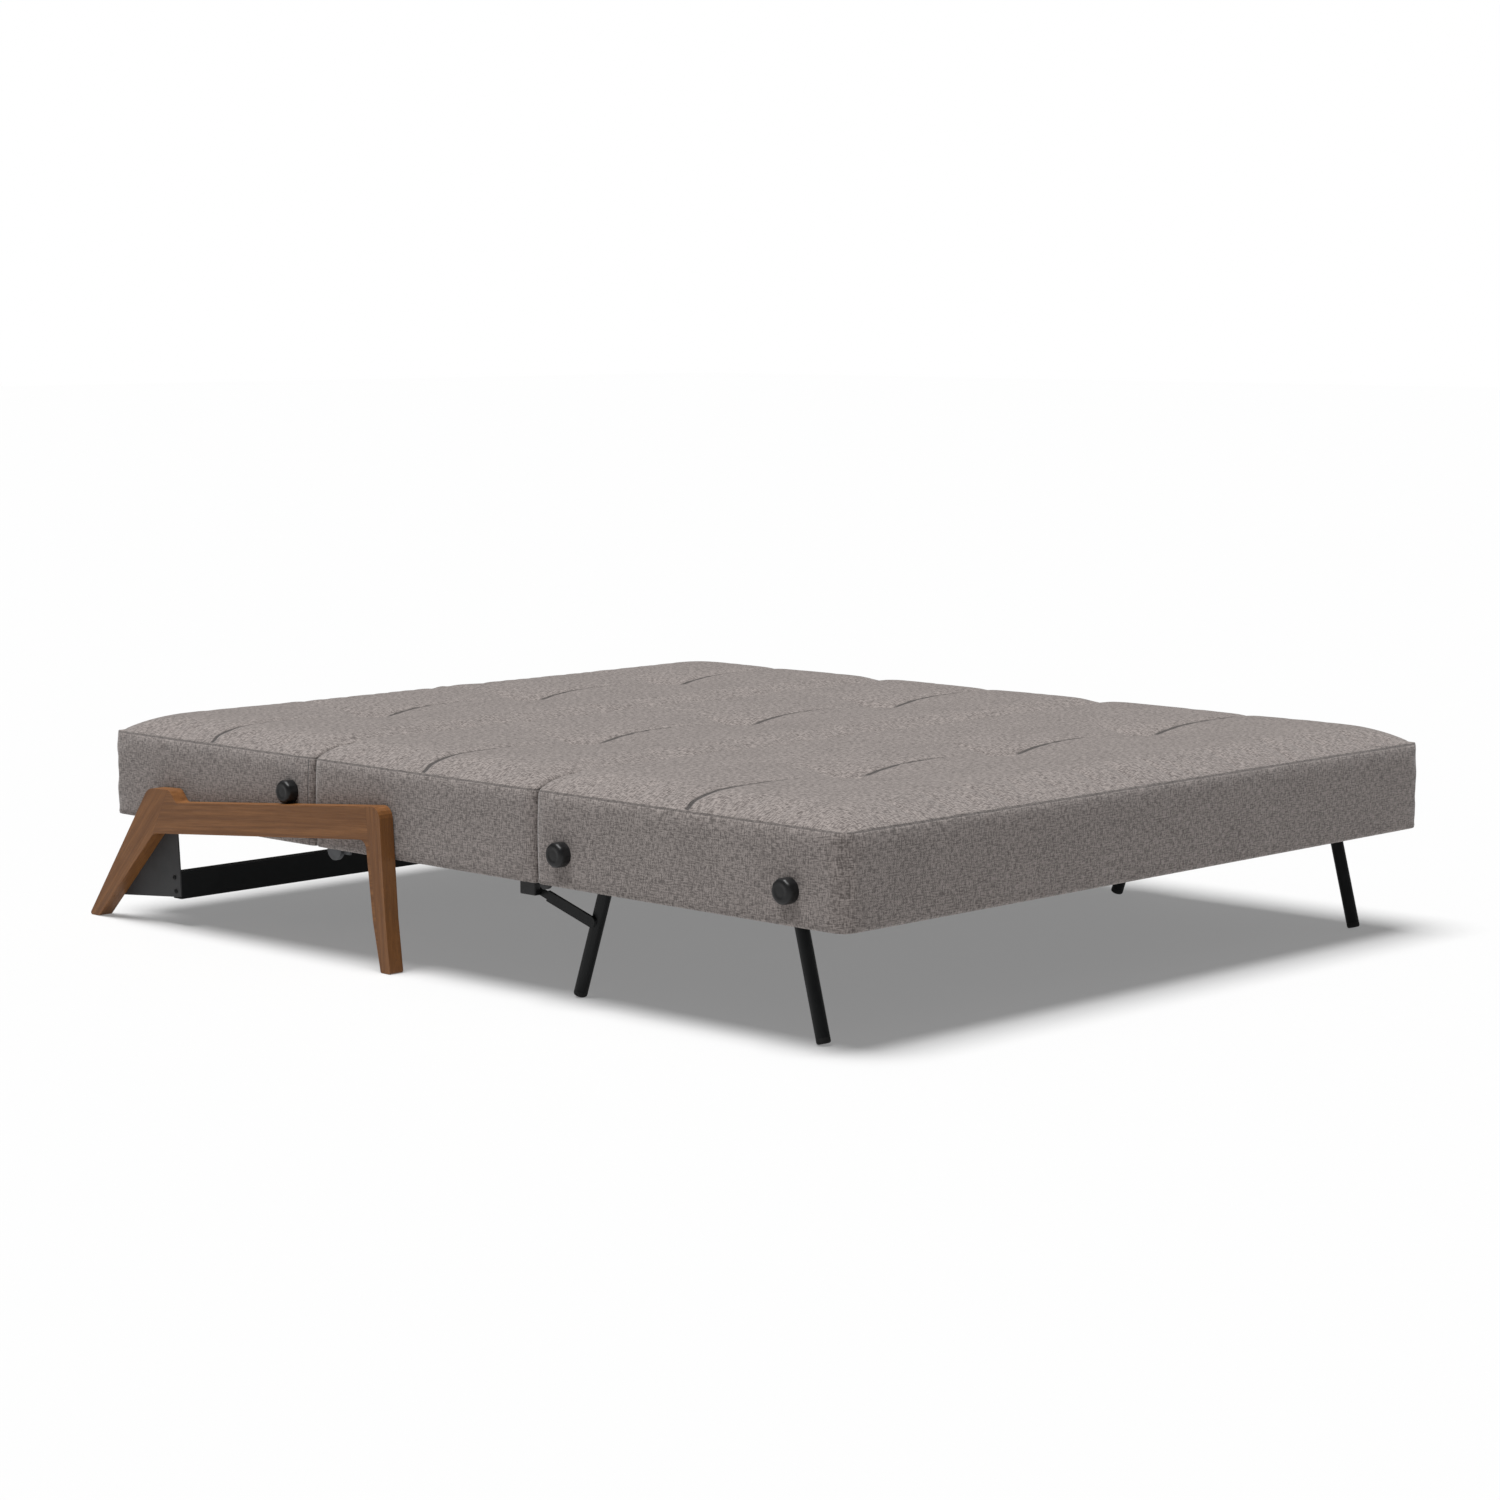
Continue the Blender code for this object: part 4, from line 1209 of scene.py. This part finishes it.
# ---- room, light and camera -----------------------------------------------------------------------
@dataclass
class Studio:
    """A pale floor, soft light and the camera."""

    eye: Point = (-4.96155, -4.81066, 1.22106)
    turn: Point = (82.7675, 0.0, -45.852)
    lens: float = 84.38
    floor_half: float = 40.0
    floor_drop: float = 0.0005
    floor_glow: float = 0.235
    sky: float = 0.10
    key: float = 4.5
    key_turn: Point = (-1.0, -9.5, 0.0)
    key_spread: float = 34.0

    def build(self) -> None:
        """Builds the camera, the floor and the lights."""
        self._camera()
        self._floor()
        self._lights()

    def _camera(self) -> None:
        """Sets up the camera."""
        data = bpy.data.cameras.new("camera")
        data.lens, data.sensor_width = self.lens, 36.0
        data.clip_end = 200.0
        camera = bpy.data.objects.new("camera", data)
        bpy.context.scene.collection.objects.link(camera)
        camera.location = self.eye
        camera.rotation_euler = tuple(math.radians(a) for a in self.turn)
        bpy.context.scene.camera = camera

    def _floor(self) -> None:
        """A wide pale floor."""
        deselect()
        bpy.ops.mesh.primitive_plane_add(size=2 * self.floor_half, location=(0, 0, -self.floor_drop))
        floor = bpy.context.object
        floor.name = "studio_floor"
        sheet = NodeSheet("studio_floor")
        sheet.put(sheet.shader, "Base Color", (0.50, 0.50, 0.50, 1.0))
        sheet.put(sheet.shader, "Emission Color", (1.0, 1.0, 1.0, 1.0))
        sheet.put(sheet.shader, "Emission Strength", self.floor_glow)
        sheet.put(sheet.shader, "Roughness", 0.9)
        sheet.put(sheet.shader, "Specular IOR Level", 0.0)
        floor.data.materials.append(sheet.material)

    def _lights(self) -> None:
        """Soft sky light and one broad key light from above."""
        world = bpy.context.scene.world or bpy.data.worlds.new("studio")
        bpy.context.scene.world = world
        world.use_nodes = True
        tree = world.node_tree
        tree.nodes.clear()
        output = tree.nodes.new("ShaderNodeOutputWorld")
        sky = tree.nodes.new("ShaderNodeBackground")
        sky.inputs["Strength"].default_value = self.sky
        seen = tree.nodes.new("ShaderNodeBackground")
        seen.inputs["Strength"].default_value = 1.0
        for node in (sky, seen):
            node.inputs["Color"].default_value = (1.0, 1.0, 1.0, 1.0)
        path = tree.nodes.new("ShaderNodeLightPath")
        mix = tree.nodes.new("ShaderNodeMixShader")
        tree.links.new(path.outputs["Is Camera Ray"], mix.inputs[0])
        tree.links.new(sky.outputs[0], mix.inputs[1])
        tree.links.new(seen.outputs[0], mix.inputs[2])
        tree.links.new(mix.outputs[0], output.inputs["Surface"])
        data = bpy.data.lights.new("key", "SUN")
        data.energy = self.key
        data.angle = math.radians(self.key_spread)
        key = bpy.data.objects.new("key", data)
        key.rotation_euler = tuple(math.radians(a) for a in self.key_turn)
        bpy.context.scene.collection.objects.link(key)
        scene = bpy.context.scene
        scene.view_settings.view_transform = "Standard"
        scene.view_settings.look = "None"


def write_sizes() -> None:
    """Updates the view layer.
    """
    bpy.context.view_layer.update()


def main() -> None:
    """Builds the whole bed and its studio."""
    logging.basicConfig(level=logging.INFO, format="%(name)s: %(message)s")
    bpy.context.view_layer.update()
    deselect()
    wardrobe = Wardrobe()
    CarriedOver().build(wardrobe)
    Mattress().build(wardrobe)
    Hardware().build(wardrobe)
    Studio().build()
    deselect()
    write_sizes()


if __name__ == "__main__":
    main()
